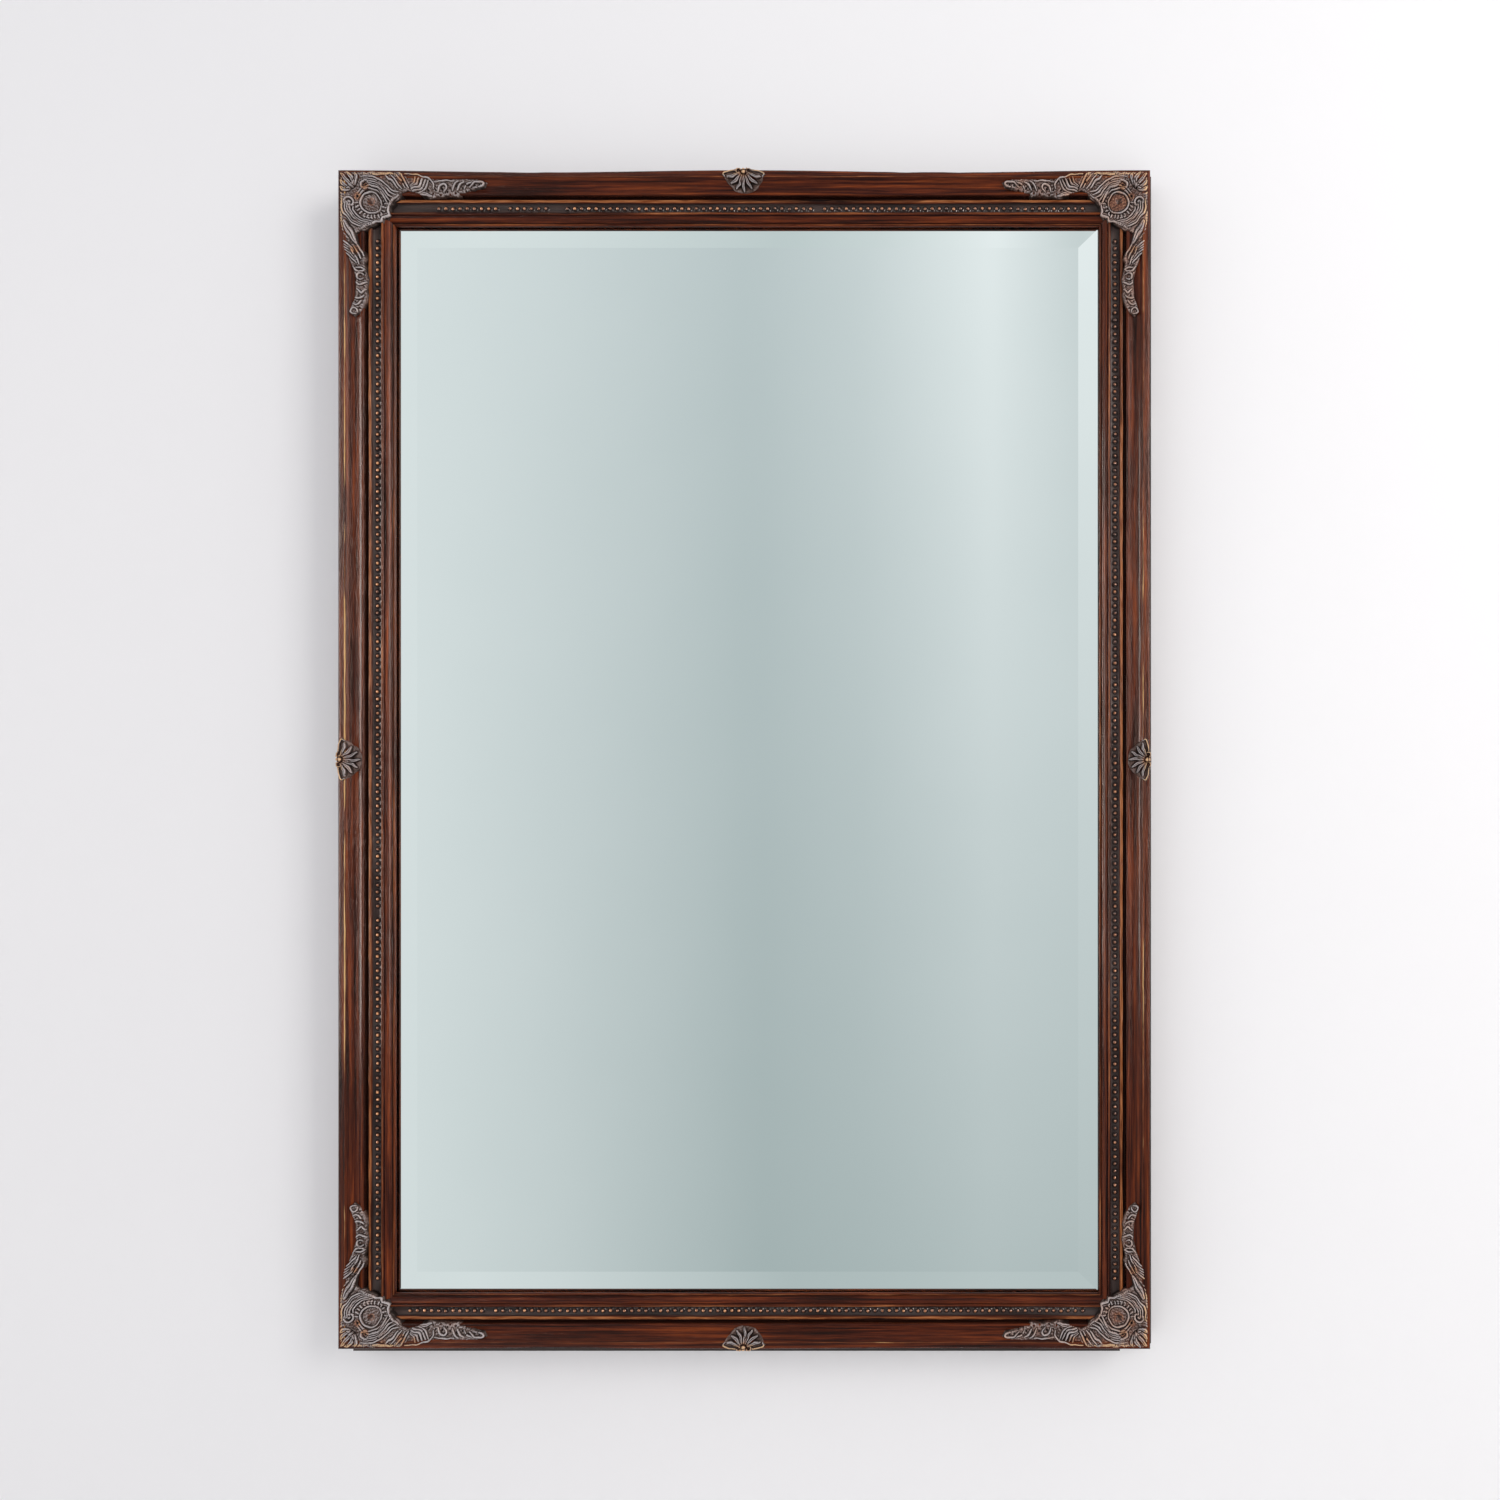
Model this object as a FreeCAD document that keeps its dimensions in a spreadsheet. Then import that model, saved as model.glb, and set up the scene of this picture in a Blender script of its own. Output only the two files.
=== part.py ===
import FreeCAD, Part
import math
import os
import Sketcher

# Carved wood wall mirror. The wall is the plane Y = 0 and the mirror faces -Y, with +Z up.
# The origin is on the wall, behind the centre of the carved frame.

V = FreeCAD.Vector
doc = FreeCAD.newDocument("CarvedMirror")

# Driving sizes in millimetres. A rail's section is read inwards from its outer edge
# and forwards from its back plane.
sizes = {
    # the carved frame, over its outer edges at the corners
    "frameWide": 684,
    "frameTall": 994,
    "railWide": 42,
    "crestTall": 28,
    # the swept lip: its edge bows inwards between the ornaments
    "sweepDip": 2,
    # the bead track: its near and far edges across the rail, its level, and that of the fillet beside it
    "trackNearShare": 0.586,
    "trackFarShare": 0.767,
    "trackLevelShare": 0.297,
    "filletLevelShare": 0.5625,
    # the rebate and what lies in it
    "rebateWide": 9,
    "rebateDeep": 15.2,
    "rebateSlack": 1.5,
    "glassThick": 5,
    "glassEdge": 2.5,
    "bevelWide": 25,
    "boardThick": 3,
    # the bead courses
    "beadWideShare": 0.47,
    "beadTall": 2.8,
    "beadPitch": 6.1,
    "beadWaistShare": 0.4,
    "beadGap": 1,
    # the corner ornaments, their levels above or below the crest
    "coreOver": 10,
    "armLong": 125,
    "armWideShare": 0.571,
    "reliefFloor": 1.2,
    "coreRise": 0.6,
    "armFall": 2.6,
    "bossPlaceShare": 0.54,
    "bossRadius": 8.3,
    "bossRise": 5.5,
    "collarRadius": 13,
    "collarRise": 2.4,
    "petalTip": 2.3,
    "petalFoot": 0.8,
    "ribTip": 2.1,
    "ribFoot": 0.8,
    # the shells half way along the rails
    "shellWide": 36,
    "shellLongShare": 0.5,
    "shellPetalTip": 2.2,
    "shellPetalFoot": 0.8,
    "shellInset": 1.5,
    # the back frame of battens, a little larger than the carved frame, its foot lowest
    "battenWide": 27,
    "battenThick": 8,
    "battenProud": 4,
    "battenOver": 9,
    "battenDrop": 6.5,
    "nailWide": 2.2,
    "nailLong": 18,
    "nailInset": 8,
    # mitre nails and glazing points
    "mitreNailLeg": 7,
    "mitreNailThick": 0.8,
    "mitreNailDeep": 10,
    "mitreNailOuter": 10,
    "mitreNailInner": 24,
    "pointLong": 11,
    "pointWide": 9,
    "pointThick": 0.6,
    "pointHold": 5,
    # the hangers: strap, ring and screws
    "hangerRise": 300,
    "strapWide": 12,
    "strapThick": 1.2,
    "strapLong": 33,
    "wireRadius": 1.2,
    "wireClear": 0.3,
    "ringInside": 15,
    "ringDrop": 18,
    "screwDrop": 26,
    "screwHeadRadius": 3.2,
    "screwHeadTall": 1.8,
    "screwRadius": 1.6,
    "screwLong": 14,
    # the wall pads
    "padWide": 14,
    "padThick": 6,
    "padInset": 8,
    # past the surface, for every cut
    "overrun": 3,
}
sheet = doc.addObject("Spreadsheet::Sheet", "Size")
for row, (word, value) in enumerate(sizes.items(), 1):
    sheet.set("A%d" % row, word)
    sheet.set("B%d" % row, str(value))
    sheet.setAlias("B%d" % row, word)
doc.recompute()

subParts = {}


def number(expression):
    """The value of an expression in the sizes, such as 'Size.frameWide / 2'."""
    return float(sheet.evalExpression(str(expression)))


def bind(thing, **expressions):
    """Ties properties of an object to expressions in the sizes."""
    for name, expression in expressions.items():
        thing.setExpression(name.replace("_", "."), str(expression))


def keep(thing, label):
    """Names an object as one finished piece."""
    thing.Label = label
    subParts[label] = thing
    return thing


# The four sides, clockwise from the top, each with the way along it, the way inwards
# and the way forwards, and the expressions for the middle and the first corner of its outer edge.
backPlane = "-(Size.padThick + Size.battenThick)"
sides = {
    "top": (V(-1, 0, 0), V(0, 0, -1), "frameWide", (0, 1), (1, 1)),
    "right": (V(0, 0, 1), V(-1, 0, 0), "frameTall", (1, 0), (1, -1)),
    "bottom": (V(1, 0, 0), V(0, 0, 1), "frameWide", (0, -1), (-1, -1)),
    "left": (V(0, 0, -1), V(1, 0, 0), "frameTall", (-1, 0), (-1, 1)),
}
cornerNames = {"top": "top_right", "right": "bottom_right", "bottom": "bottom_left", "left": "top_left"}
lastCorner = {"top": "left", "right": "top", "bottom": "right", "left": "bottom"}


def place(thing, side, atCorner=False, spot=(0, 0, 0)):
    """Puts a thing drawn along X, inwards along Y and forwards along Z on one side of the frame,
    with its own origin at a spot given in the same directions."""
    along, inward, length, middle, corner = sides[side]
    start = corner if atCorner else middle
    forward = V(0, -1, 0)
    thing.Placement = FreeCAD.Placement(V(), FreeCAD.Rotation(along, inward, forward, "XYZ"))
    base = ("Size.frameWide / 2 * %d" % start[0], backPlane, "Size.frameTall / 2 * %d" % start[1])
    for axis, name in enumerate("xyz"):
        moves = ["%d * (%s)" % (way[axis], step) for way, step in zip((along, inward, forward), spot)]
        bind(thing, **{"Placement_Base_" + name: " + ".join([base[axis]] + moves)})


def originPlane(body, role):
    """One of a body's own origin planes."""
    return next(f for f in body.Origin.OriginFeatures if f.Role == role)


def drawOutline(sketch, corners):
    """Draws one closed outline. A corner is (x, y), or (x, y, radius, side) where an arc of that
    radius leaves it for the next corner, bulging to the left (1) or the right (-1) of the way."""
    first = sketch.GeometryCount
    spots = [V(number(c[0]), number(c[1])) for c in corners]
    starts = []
    for i, corner in enumerate(corners):
        a, b = spots[i], spots[(i + 1) % len(spots)]
        if len(corner) > 2:
            chord = b - a
            radius = number(corner[2])
            sagitta = radius - math.sqrt(max(radius**2 - chord.Length**2 / 4, 0))
            out = V(-chord.y, chord.x) / chord.Length * sagitta * corner[3]
            arc = Part.Arc(a, (a + b) / 2 + out, b)
            index = sketch.addGeometry(arc)
            starts.append(1 if (sketch.getPoint(index, 1) - a).Length < (sketch.getPoint(index, 1) - b).Length else 2)
        else:
            sketch.addGeometry(Part.LineSegment(a, b))
            starts.append(1)
    for i, corner in enumerate(corners):
        index, start = first + i, starts[i]
        after = (i + 1) % len(corners)
        sketch.addConstraint(
            Sketcher.Constraint("Coincident", index, 3 - start, first + after, starts[after])
        )
        for axis, ways in ((0, ("DistanceX", -2)), (1, ("DistanceY", -1))):
            if abs(number(corner[axis])) < 1e-9:
                sketch.addConstraint(Sketcher.Constraint("PointOnObject", index, start, ways[1]))
                continue
            held = sketch.addConstraint(
                Sketcher.Constraint(ways[0], -1, 1, index, start, number(corner[axis]))
            )
            sketch.setExpression("Constraints[%d]" % held, str(corner[axis]))
        if len(corner) > 2:
            held = sketch.addConstraint(Sketcher.Constraint("Radius", index, number(corner[2])))
            sketch.setExpression("Constraints[%d]" % held, str(corner[2]))
    return sketch


def bodySketch(body, name, role, lift, *outlines):
    """A sketch on a body's own plane, lifted from it by an expression."""
    sketch = body.newObject("Sketcher::SketchObject", name)
    sketch.AttachmentSupport = [(originPlane(body, role), "")]
    sketch.MapMode = "FlatFace"
    if lift:
        sketch.setExpression("AttachmentOffset.Base.z", lift)
    for corners in outlines:
        drawOutline(sketch, corners)
    return sketch


def freeSketch(name, *outlines):
    """A sketch on the XY plane that belongs to no body."""
    sketch = doc.addObject("Sketcher::SketchObject", name)
    for corners in outlines:
        drawOutline(sketch, corners)
    return sketch


def scaled(shares, wide, tall, round_):
    """An outline's corners from their shares of two sizes, with arcs' radii as shares of a third."""
    corners = []
    for x, y, *bend in shares:
        arc = ("%s * %g" % (round_, bend[0]), bend[1]) if bend else ()
        corners.append(("%s * %g" % (wide, x), "%s * %g" % (tall, y)) + arc)
    return corners


def section(shares):
    """Corners of the moulding's face: shares of railWide across, and shares of the face's rise
    from the rebate's level to the crest, with an arc's radius as a share of railWide."""
    face = scaled(shares, "Size.railWide", faceRise, "Size.railWide")
    return [(x, "Size.rebateDeep + " + y) + tuple(bend) for x, y, *bend in face]


faceRise = "(Size.crestTall - Size.rebateDeep)"
# The lip's upright side, its eased edge and its crest.
lipShares = [(0, 0.867), (0.04, 0.97), (0.124, 1)]
# Inside the crest, the shallow cove and the quirk beside it, then the torus and the sight edge.
outerShares = [(0.14, 0.97, 0.25, -1), (0.45, 0.72), (0.465, 0.28), (0.505, 0.28)]
filletShares = (0.517, 0.82)
innerShares = [(0.828, 0.48, 0.13, 1), (0.945, 0.17), (0.968, 0.21), (1, 0.156)]
trackEdges = ["Size.railWide * Size.track%sShare" % edge for edge in ("Near", "Far")]
trackLevel, filletLevel = [
    "Size.rebateDeep + %s * Size.%sLevelShare" % (faceRise, step) for step in ("track", "fillet")
]
rebateEdge = "(Size.railWide - Size.rebateWide)"
railSection = [(0, 0)] + section(lipShares + outerShares)
railSection += [
    ("Size.railWide * %g" % filletShares[0], filletLevel),
    (trackEdges[0], filletLevel),
    (trackEdges[0], trackLevel),
    (trackEdges[1], trackLevel),
    (trackEdges[1], filletLevel),
    ("Size.railWide * %g" % filletShares[1], filletLevel),
]
railSection += section(innerShares)
railSection += [("Size.railWide", "Size.rebateDeep"), (rebateEdge, "Size.rebateDeep"), (rebateEdge, 0)]


def pocket(body, name, outlines, tall=None):
    """A cut through a body from its back, up to a height or right through."""
    cutter = body.newObject("PartDesign::Pocket", name)
    cutter.Profile = bodySketch(body, name + "Outline", "XY_Plane", None, *outlines)
    cutter.Reversed = True
    if tall:
        bind(cutter, Length=tall)
    else:
        cutter.Type = "ThroughAll"
    doc.recompute()
    return cutter


def makeRail(side):
    """One rail: the moulding's section run along it, its ends mitred and its lip's edge swept
    inwards in one long bow on each side of the middle."""
    length = "Size." + sides[side][2]
    over = "Size.overrun"
    body = doc.addObject("PartDesign::Body", side.capitalize() + "RailBlank")
    place(body, side)
    run = body.newObject("PartDesign::Pad", side + "Moulding")
    run.Profile = bodySketch(body, side + "Section", "YZ_Plane", None, railSection)
    run.Midplane = True
    bind(run, Length=length)
    doc.recompute()
    wedges = []
    bows = []
    bowRadius = "((%s / 4)^2 + Size.sweepDip^2) / (2 * Size.sweepDip)" % length
    for way in (1, -1):
        end, inner = "(%s / 2 + %s) * %d" % (length, over, way), "(Size.railWide + %s)" % over
        wedges.append([(end, "-" + over), (end, inner), ("(%s / 2 - %s) * %d" % (length, inner, way), inner)])
        bows.append([(0, 0), ("%s / 2 * %d" % (length, way), 0, bowRadius, way)])
    pocket(body, side + "Mitres", wedges)
    pocket(body, side + "Sweep", bows)
    return body


railBlanks = {side: makeRail(side) for side in sides}


def box(name, side, spot, length, width, height):
    """A block placed on one side of the frame, sized along it, inwards and forwards."""
    block = doc.addObject("Part::Box", name)
    bind(block, Length=length, Width=width, Height=height)
    place(block, side, spot=spot)
    return block


def group(name, things):
    """Separate like pieces held together as one named piece."""
    gathered = doc.addObject("Part::Compound", name)
    gathered.Links = things
    return gathered


def cut(name, base, tool):
    """One piece with others taken out of it."""
    result = doc.addObject("Part::Cut", name)
    result.Base = base
    result.Tool = tool
    result.Refine = True
    return result


# The plate and its board lie in the rebate and share its outline.
plateEdge = "(%s + Size.rebateSlack)" % rebateEdge
plateWide = "(Size.frameWide - 2 * %s)" % plateEdge
plateTall = "(Size.frameTall - 2 * %s)" % plateEdge
plateBack = "(Size.rebateDeep - Size.glassThick)"
boardBack = "(%s - Size.boardThick)" % plateBack


def plateOutline(inset):
    """The plate's outline, drawn in from its edge by a size."""
    half = "(%s / 2 - %s)" % (plateWide, inset)
    low = "(%s + %s)" % (plateEdge, inset)
    high = "(Size.frameTall - %s)" % low
    return [("-" + half, low), (half, low), (half, high), ("-" + half, high)]


def makePlate():
    """The glass: a flat plate with a wide bevel ground round its front."""
    body = doc.addObject("PartDesign::Body", "MirrorPlate")
    place(body, "bottom")
    edge = body.newObject("PartDesign::Pad", "PlateEdge")
    edge.Profile = bodySketch(body, "PlateOutline", "XY_Plane", plateBack, plateOutline("0"))
    bind(edge, Length="Size.glassEdge")
    doc.recompute()
    bevel = body.newObject("PartDesign::AdditiveLoft", "PlateBevel")
    bevelStart = plateBack + " + Size.glassEdge"
    bevel.Profile = bodySketch(body, "BevelOutside", "XY_Plane", bevelStart, plateOutline("0"))
    bevel.Sections = [
        bodySketch(body, "BevelInside", "XY_Plane", "Size.rebateDeep", plateOutline("Size.bevelWide"))
    ]
    bevel.Ruled = True
    doc.recompute()
    return keep(body, "mirror_plate")


def makeBoard():
    """The thin board that backs the glass."""
    spot = ("-%s / 2" % plateWide, plateEdge, boardBack)
    return keep(box("Board", "bottom", spot, plateWide, plateTall, "Size.boardThick"), "backing_board")


def batten(name, x, z, wide, tall):
    """One back batten, from its lower left corner."""
    spot = (x, "Size.frameTall / 2 + " + z, "-Size.battenThick")
    return box(name, "bottom", spot, wide, tall, "Size.battenThick")


def makeBattens():
    """The back frame: the right batten runs the whole height, and the others butt against it,
    the bottom one lowest."""
    outerX = "(Size.frameWide / 2 + Size.battenProud)"
    outerZ = "(Size.frameTall / 2 + Size.battenOver)"
    wide = "Size.battenWide"
    foot = "(%s + Size.battenDrop)" % outerZ
    between = "(2 * %s - 2 * %s)" % (outerX, wide)
    return {
        "right": batten("RightBatten", outerX + " - " + wide, "-" + outerZ, wide, "2 * " + outerZ),
        "bottom": batten("BottomBatten", "-" + outerX, "-" + foot, "2 * %s - %s" % (outerX, wide), wide),
        "left": batten(
            "LeftBatten", "-" + outerX, "(%s - %s)" % (wide, foot), wide, "%s + %s - %s" % (outerZ, foot, wide)
        ),
        "top": batten("TopBatten", "-%s + %s" % (outerX, wide), "%s - %s" % (outerZ, wide), between, wide),
    }


nailShares = {"top": (-0.36, 0, 0.36), "bottom": (-0.36, 0, 0.36)}
nailShares["left"] = nailShares["right"] = (-0.4, -0.14, 0.14, 0.4)
pointShares = {"top": (-0.3, 0, 0.3), "bottom": (-0.3, 0, 0.3)}
pointShares["left"] = pointShares["right"] = (-0.36, -0.12, 0.12, 0.36)


def makeNails():
    """Square nails through the battens into the rails, their heads flush with the battens' backs."""
    nails = []
    for side, shares in nailShares.items():
        for share in shares:
            along = "Size.%s * %g - Size.nailWide / 2" % (sides[side][2], share)
            spot = (along, "Size.nailInset - Size.nailWide / 2", "-Size.battenThick")
            nails.append(box(side + "Nail", side, spot, "Size.nailWide", "Size.nailWide", "Size.nailLong"))
    return keep(group("Nails", nails), "batten_nails")


def makePoints():
    """Flat glazing points pushed into the rebate's wall, lying on the board's back."""
    points = []
    inward = plateEdge + " + Size.pointHold - Size.pointLong"
    for side, shares in pointShares.items():
        for share in shares:
            along = "Size.%s * %g - Size.pointWide / 2" % (sides[side][2], share)
            spot = (along, inward, boardBack + " - Size.pointThick")
            points.append(box(side + "Point", side, spot, "Size.pointWide", "Size.pointLong", "Size.pointThick"))
    return keep(group("Points", points), "glazing_points")


def makeMitreNails():
    """Angled nails driven across each mitre from behind, one leg in each rail."""
    nails = []
    leg, thick = "Size.mitreNailLeg", "Size.mitreNailThick"
    for side in sides:
        for start in ("Size.mitreNailOuter", "Size.mitreNailInner"):
            near, mid, far = start, start + " + " + thick, start + " + " + leg
            corners = [(near, near), (far, near), (far, mid), (mid, mid), (mid, far), (near, far)]
            nail = doc.addObject("Part::Extrusion", side + "MitreNail")
            nail.Base = freeSketch(side + "MitreNailOutline", corners)
            nail.DirMode = "Normal"
            nail.Solid = True
            bind(nail, LengthFwd="Size.mitreNailDeep")
            place(nail, side, True)
            nails.append(nail)
    return keep(group("MitreNails", nails), "mitre_nails")


# Sizes of the carving that follow the rail that it lies on.
coreWide = "(Size.railWide + Size.coreOver)"
armWide = "(Size.railWide * Size.armWideShare)"
shellLong = "(Size.railWide * Size.shellLongShare)"
reliefRoot = "(Size.rebateDeep + Size.reliefFloor)"
coreLevel = "(Size.crestTall + Size.coreRise)"
armLevel = "(Size.crestTall - Size.armFall)"


def makeBeads(side):
    """One course of beads, pressed as a string: each bead rises from a low waist to its crown.
    Every face is flat, because there are hundreds of beads."""
    length = number("Size." + sides[side][2]) - 2 * number(coreWide + " + Size.beadGap")
    count = round(length / number("Size.beadPitch"))
    pitch = length / count
    near, far = [number(edge) for edge in trackEdges]
    middle, wide = (near + far) / 2, (far - near) / 2 * number("Size.beadWideShare")
    floor, tall = number(trackLevel), number("Size.beadTall")
    waistTall = tall * number("Size.beadWaistShare")
    waists = [V(i * pitch - length / 2, middle, floor + waistTall) for i in range(count + 1)]
    crowns = [V((a.x + b.x) / 2, middle, floor + tall) for a, b in zip(waists, waists[1:])]
    feet = [[V(spot.x, middle + way * wide, floor) for spot in waists] for way in (-1, 1)]
    outlines = [feet[0] + feet[1][::-1]]
    outlines += [[feet[0][end], waists[end], feet[1][end]] for end in (0, -1)]
    for i, crown in enumerate(crowns):
        for foot in feet:
            outlines.append([foot[i], foot[i + 1], crown])
            outlines.append([foot[i], crown, waists[i]])
            outlines.append([foot[i + 1], waists[i + 1], crown])
    faces = [Part.Face(Part.makePolygon(outline + outline[:1])) for outline in outlines]
    course = doc.addObject("Part::Feature", side + "Beads")
    course.Shape = Part.makeSolid(Part.makeShell(faces))
    place(course, side)
    return keep(course, side + "_bead_course")


def petal(name, spot, heading, foot, tip, length):
    """A petal or leaf rib: a square bar laid on its corner, so that its ridge is up, which swells
    from its narrow foot to its tip."""
    bar = doc.addObject("Part::Wedge", name)
    bar.Placement = FreeCAD.Placement(
        V(), FreeCAD.Rotation(V(0, 0, 1), heading - 90) * FreeCAD.Rotation(V(0, 1, 0), 45)
    )
    bind(bar, Xmin="-" + foot, Xmax=foot, Zmin="-" + foot, Zmax=foot, Ymin=0, Ymax=length)
    bind(bar, X2min="-" + tip, X2max=tip, Z2min="-" + tip, Z2max=tip)
    bind(bar, Placement_Base_x=spot[0], Placement_Base_y=spot[1], Placement_Base_z=spot[2])
    return bar


def plate(name, corners, top):
    """A flat carved ground with an outline, from its bed in the wood up to a level."""
    sketch = freeSketch(name + "Outline", corners)
    bind(sketch, Placement_Base_z=reliefRoot)
    raised = doc.addObject("Part::Extrusion", name)
    raised.Base = sketch
    raised.DirMode = "Normal"
    raised.Solid = True
    bind(raised, LengthFwd="%s - %s" % (top, reliefRoot))
    return raised


# Half of a corner ornament's core, from the outer corner along one side and back to the
# diagonal, as shares of its width. A third share is an arc's radius and the last number the
# side that the arc bulges to.
coreShares = [(0.09, 0.03), (0.96, 0.06), (0.98, 0.46, 0.18, 1), (0.84, 0.735)]
# One arm, from its root inside the core along its outer edge to the tip and back by three leaf
# lobes: shares of its length past the root and of its width.
armShares = [
    (0, 0.2),
    (0.22, 0.18),
    (0.31, 0.28),
    (0.47, 0.36),
    (0.77, 0.46),
    (0.92, 0.42),
    (0.97, 0.62),
    (0.91, 0.82),
    (0.84, 0.88),
    (0.75, 0.72),
    (0.66, 0.9),
    (0.56, 0.92),
    (0.48, 0.74),
    (0.42, 0.88),
    (0.3, 0.8),
    (0, 0.7),
]
armRootShare = 0.865
armRoot = "(%s * %g)" % (coreWide, armRootShare)
armReach = "(Size.armLong - %s)" % armRoot


def mirrored(corners):
    """The mirror image of an outline or a stretch of one in the mitre, run the other way."""
    turned = []
    for i in range(len(corners) - 1, -1, -1):
        arc = corners[i - 1][2:] if i else ()
        turned.append((corners[i][1], corners[i][0]) + arc)
    return turned


# Petals of the fan round the boss: each one's heading, and its length as a share of the core's width.
# Ribs of leaf on an arm: places as shares of the arm, heading, length as a share of its width.
petalShares = ((225, 0.42), (202, 0.28), (248, 0.28), (178, 0.22), (272, 0.22))
ribShares = ((0.22, 0.66, -38, 0.62), (0.44, 0.78, -24, 0.62), (0.64, 0.68, 2, 0.66))
# The domed boss rises in three steps: shares of its radius and of its rise above the core.
bossShares = ((1, 0.52), (0.82, 0.8), (0.52, 1))
drumSides = 12


def makeCorner(side):
    """One corner ornament: a notched core with two leafy arms, a fan of petals and a domed boss
    in a collar, bedded in the two rails that meet there."""
    name = cornerNames[side]
    middle, reach = "(%s * Size.bossPlaceShare)" % coreWide, "(Size.collarRadius - Size.petalFoot)"
    core = scaled(coreShares, coreWide, coreWide, coreWide)
    arm = [("%s + %s" % (armRoot, x), y) for x, y in scaled(armShares, armReach, armWide, armWide)]
    parts = [
        plate(name + "Core", core + mirrored(core), coreLevel),
        plate(name + "Arm", arm, armLevel),
        plate(name + "OtherArm", mirrored(arm), armLevel),
    ]
    rounds = [("Collar", "Size.collarRadius", "Size.collarRise - Size.coreRise")]
    for share, rise in bossShares:
        rounds.append(("Boss", "Size.bossRadius * %g" % share, "(Size.bossRise - Size.coreRise) * %g" % rise))
    for word, radius, tall in rounds:
        drum = doc.addObject("Part::Prism", name + word)
        drum.Polygon = drumSides
        bind(drum, Circumradius=radius, Height=tall)
        bind(drum, Placement_Base_x=middle, Placement_Base_y=middle, Placement_Base_z=coreLevel)
        parts.append(drum)
    for heading, share in petalShares:
        way = (math.cos(math.radians(heading)), math.sin(math.radians(heading)))
        spot = ["%s + %s * %g" % (middle, reach, step) for step in way] + [coreLevel]
        long = "%s * %g" % (coreWide, share)
        parts.append(petal(name + "Petal", spot, heading, "Size.petalFoot", "Size.petalTip", long))
    for along, across, heading, share in ribShares:
        x, y = "%s + %s * %g" % (armRoot, armReach, along), "%s * %g" % (armWide, across)
        for spot, turned in (([x, y], heading), ([y, x], 90 - heading)):
            spot.append(armLevel)
            long = "%s * %g" % (armWide, share)
            parts.append(petal(name + "Rib", spot, turned, "Size.ribFoot", "Size.ribTip", long))
    relief = doc.addObject("Part::MultiFuse", name + "Relief")
    relief.Shapes = parts
    relief.Refine = True
    place(relief, side, True)
    return keep(relief, name + "_corner_ornament")


# Half of a shell's outline, from the lip to the lobe at its middle: shares of its width and
# length. Then its petals' headings, and their lengths as shares of its length.
shellShares = [(0.44, 0), (0.5, 0.14), (0.47, 0.46), (0.38, 0.66), (0.22, 0.84), (0.12, 0.98)]
shellPetalShares = ((90, 0.74), (52, 0.66), (128, 0.66), (16, 0.58), (164, 0.58))


def makeShell(side):
    """One shell half way along a rail: a lobed ground with petals fanned from the lip."""
    half = scaled(shellShares, "Size.shellWide", shellLong, shellLong)
    right = [(x, "Size.shellInset + " + y) for x, y in half]
    left = [("-" + x, y) for x, y in right[::-1]]
    parts = [plate(side + "ShellGround", right + left, coreLevel)]
    for heading, share in shellPetalShares:
        spot = [0, "Size.shellInset + Size.shellPetalTip", coreLevel]
        long = "%s * %g" % (shellLong, share)
        foot, tip = "Size.shellPetalFoot", "Size.shellPetalTip"
        parts.append(petal(side + "ShellPetal", spot, heading, foot, tip, long))
    relief = doc.addObject("Part::MultiFuse", side + "Shell")
    relief.Shapes = parts
    relief.Refine = True
    place(relief, side)
    return keep(relief, side + "_shell_ornament")


# The hangers stand on the side battens' backs, at the middle of their width.
hangerX = "(Size.frameWide / 2 + Size.battenProud - Size.battenWide / 2)"
axisOut = "(Size.wireRadius + Size.wireClear + Size.strapThick)"


def upright(thing, way, x, y, z):
    """Places a thing drawn along Z so that it runs along a way, from a point."""
    thing.Placement = FreeCAD.Placement(V(), FreeCAD.Rotation(V(0, 0, 1), way))
    bind(thing, Placement_Base_x=x, Placement_Base_y=y, Placement_Base_z=z)
    return thing


def makeScrew(hand):
    """The pan-headed screw of one hanger."""
    x, z = "%s * %d" % (hangerX, hand), "Size.hangerRise - Size.screwDrop"
    seat = "-Size.padThick + Size.strapThick"
    head = doc.addObject("Part::Cylinder", "ScrewHead")
    bind(head, Radius="Size.screwHeadRadius", Height="Size.screwHeadTall")
    shank = doc.addObject("Part::Cylinder", "ScrewShank")
    bind(shank, Radius="Size.screwRadius", Height="Size.screwLong")
    upright(head, V(0, 1, 0), x, seat, z)
    upright(shank, V(0, -1, 0), x, seat, z)
    screw = doc.addObject("Part::Fuse", "Screw")
    screw.Base = head
    screw.Tool = shank
    return screw


def makeStrap(name, hand, screw):
    """One strap: a plate screwed to the batten, its end rolled round the ring's bar."""
    x = "%s * %d - Size.strapWide / 2" % (hangerX, hand)
    out = "-Size.padThick + " + axisOut
    leaf = doc.addObject("Part::Box", name + "Leaf")
    bind(leaf, Length="Size.strapWide", Width="Size.strapThick", Height="Size.strapLong")
    bind(leaf, Placement_Base_x=x, Placement_Base_y="-Size.padThick")
    bind(leaf, Placement_Base_z="Size.hangerRise - Size.strapLong")
    knuckle = doc.addObject("Part::Cylinder", name + "Knuckle")
    bind(knuckle, Radius=axisOut, Height="Size.strapWide")
    bore = doc.addObject("Part::Cylinder", name + "Bore")
    bind(bore, Radius="Size.wireRadius + Size.wireClear", Height="Size.strapWide + 2 * Size.overrun")
    upright(knuckle, V(1, 0, 0), x, out, "Size.hangerRise")
    upright(bore, V(1, 0, 0), x + " - Size.overrun", out, "Size.hangerRise")
    rolled = doc.addObject("Part::Fuse", name + "Rolled")
    rolled.Base = leaf
    rolled.Tool = knuckle
    return cut(name + "Strap", rolled, group(name + "Away", [bore, screw]))


ringChords = 5


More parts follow.
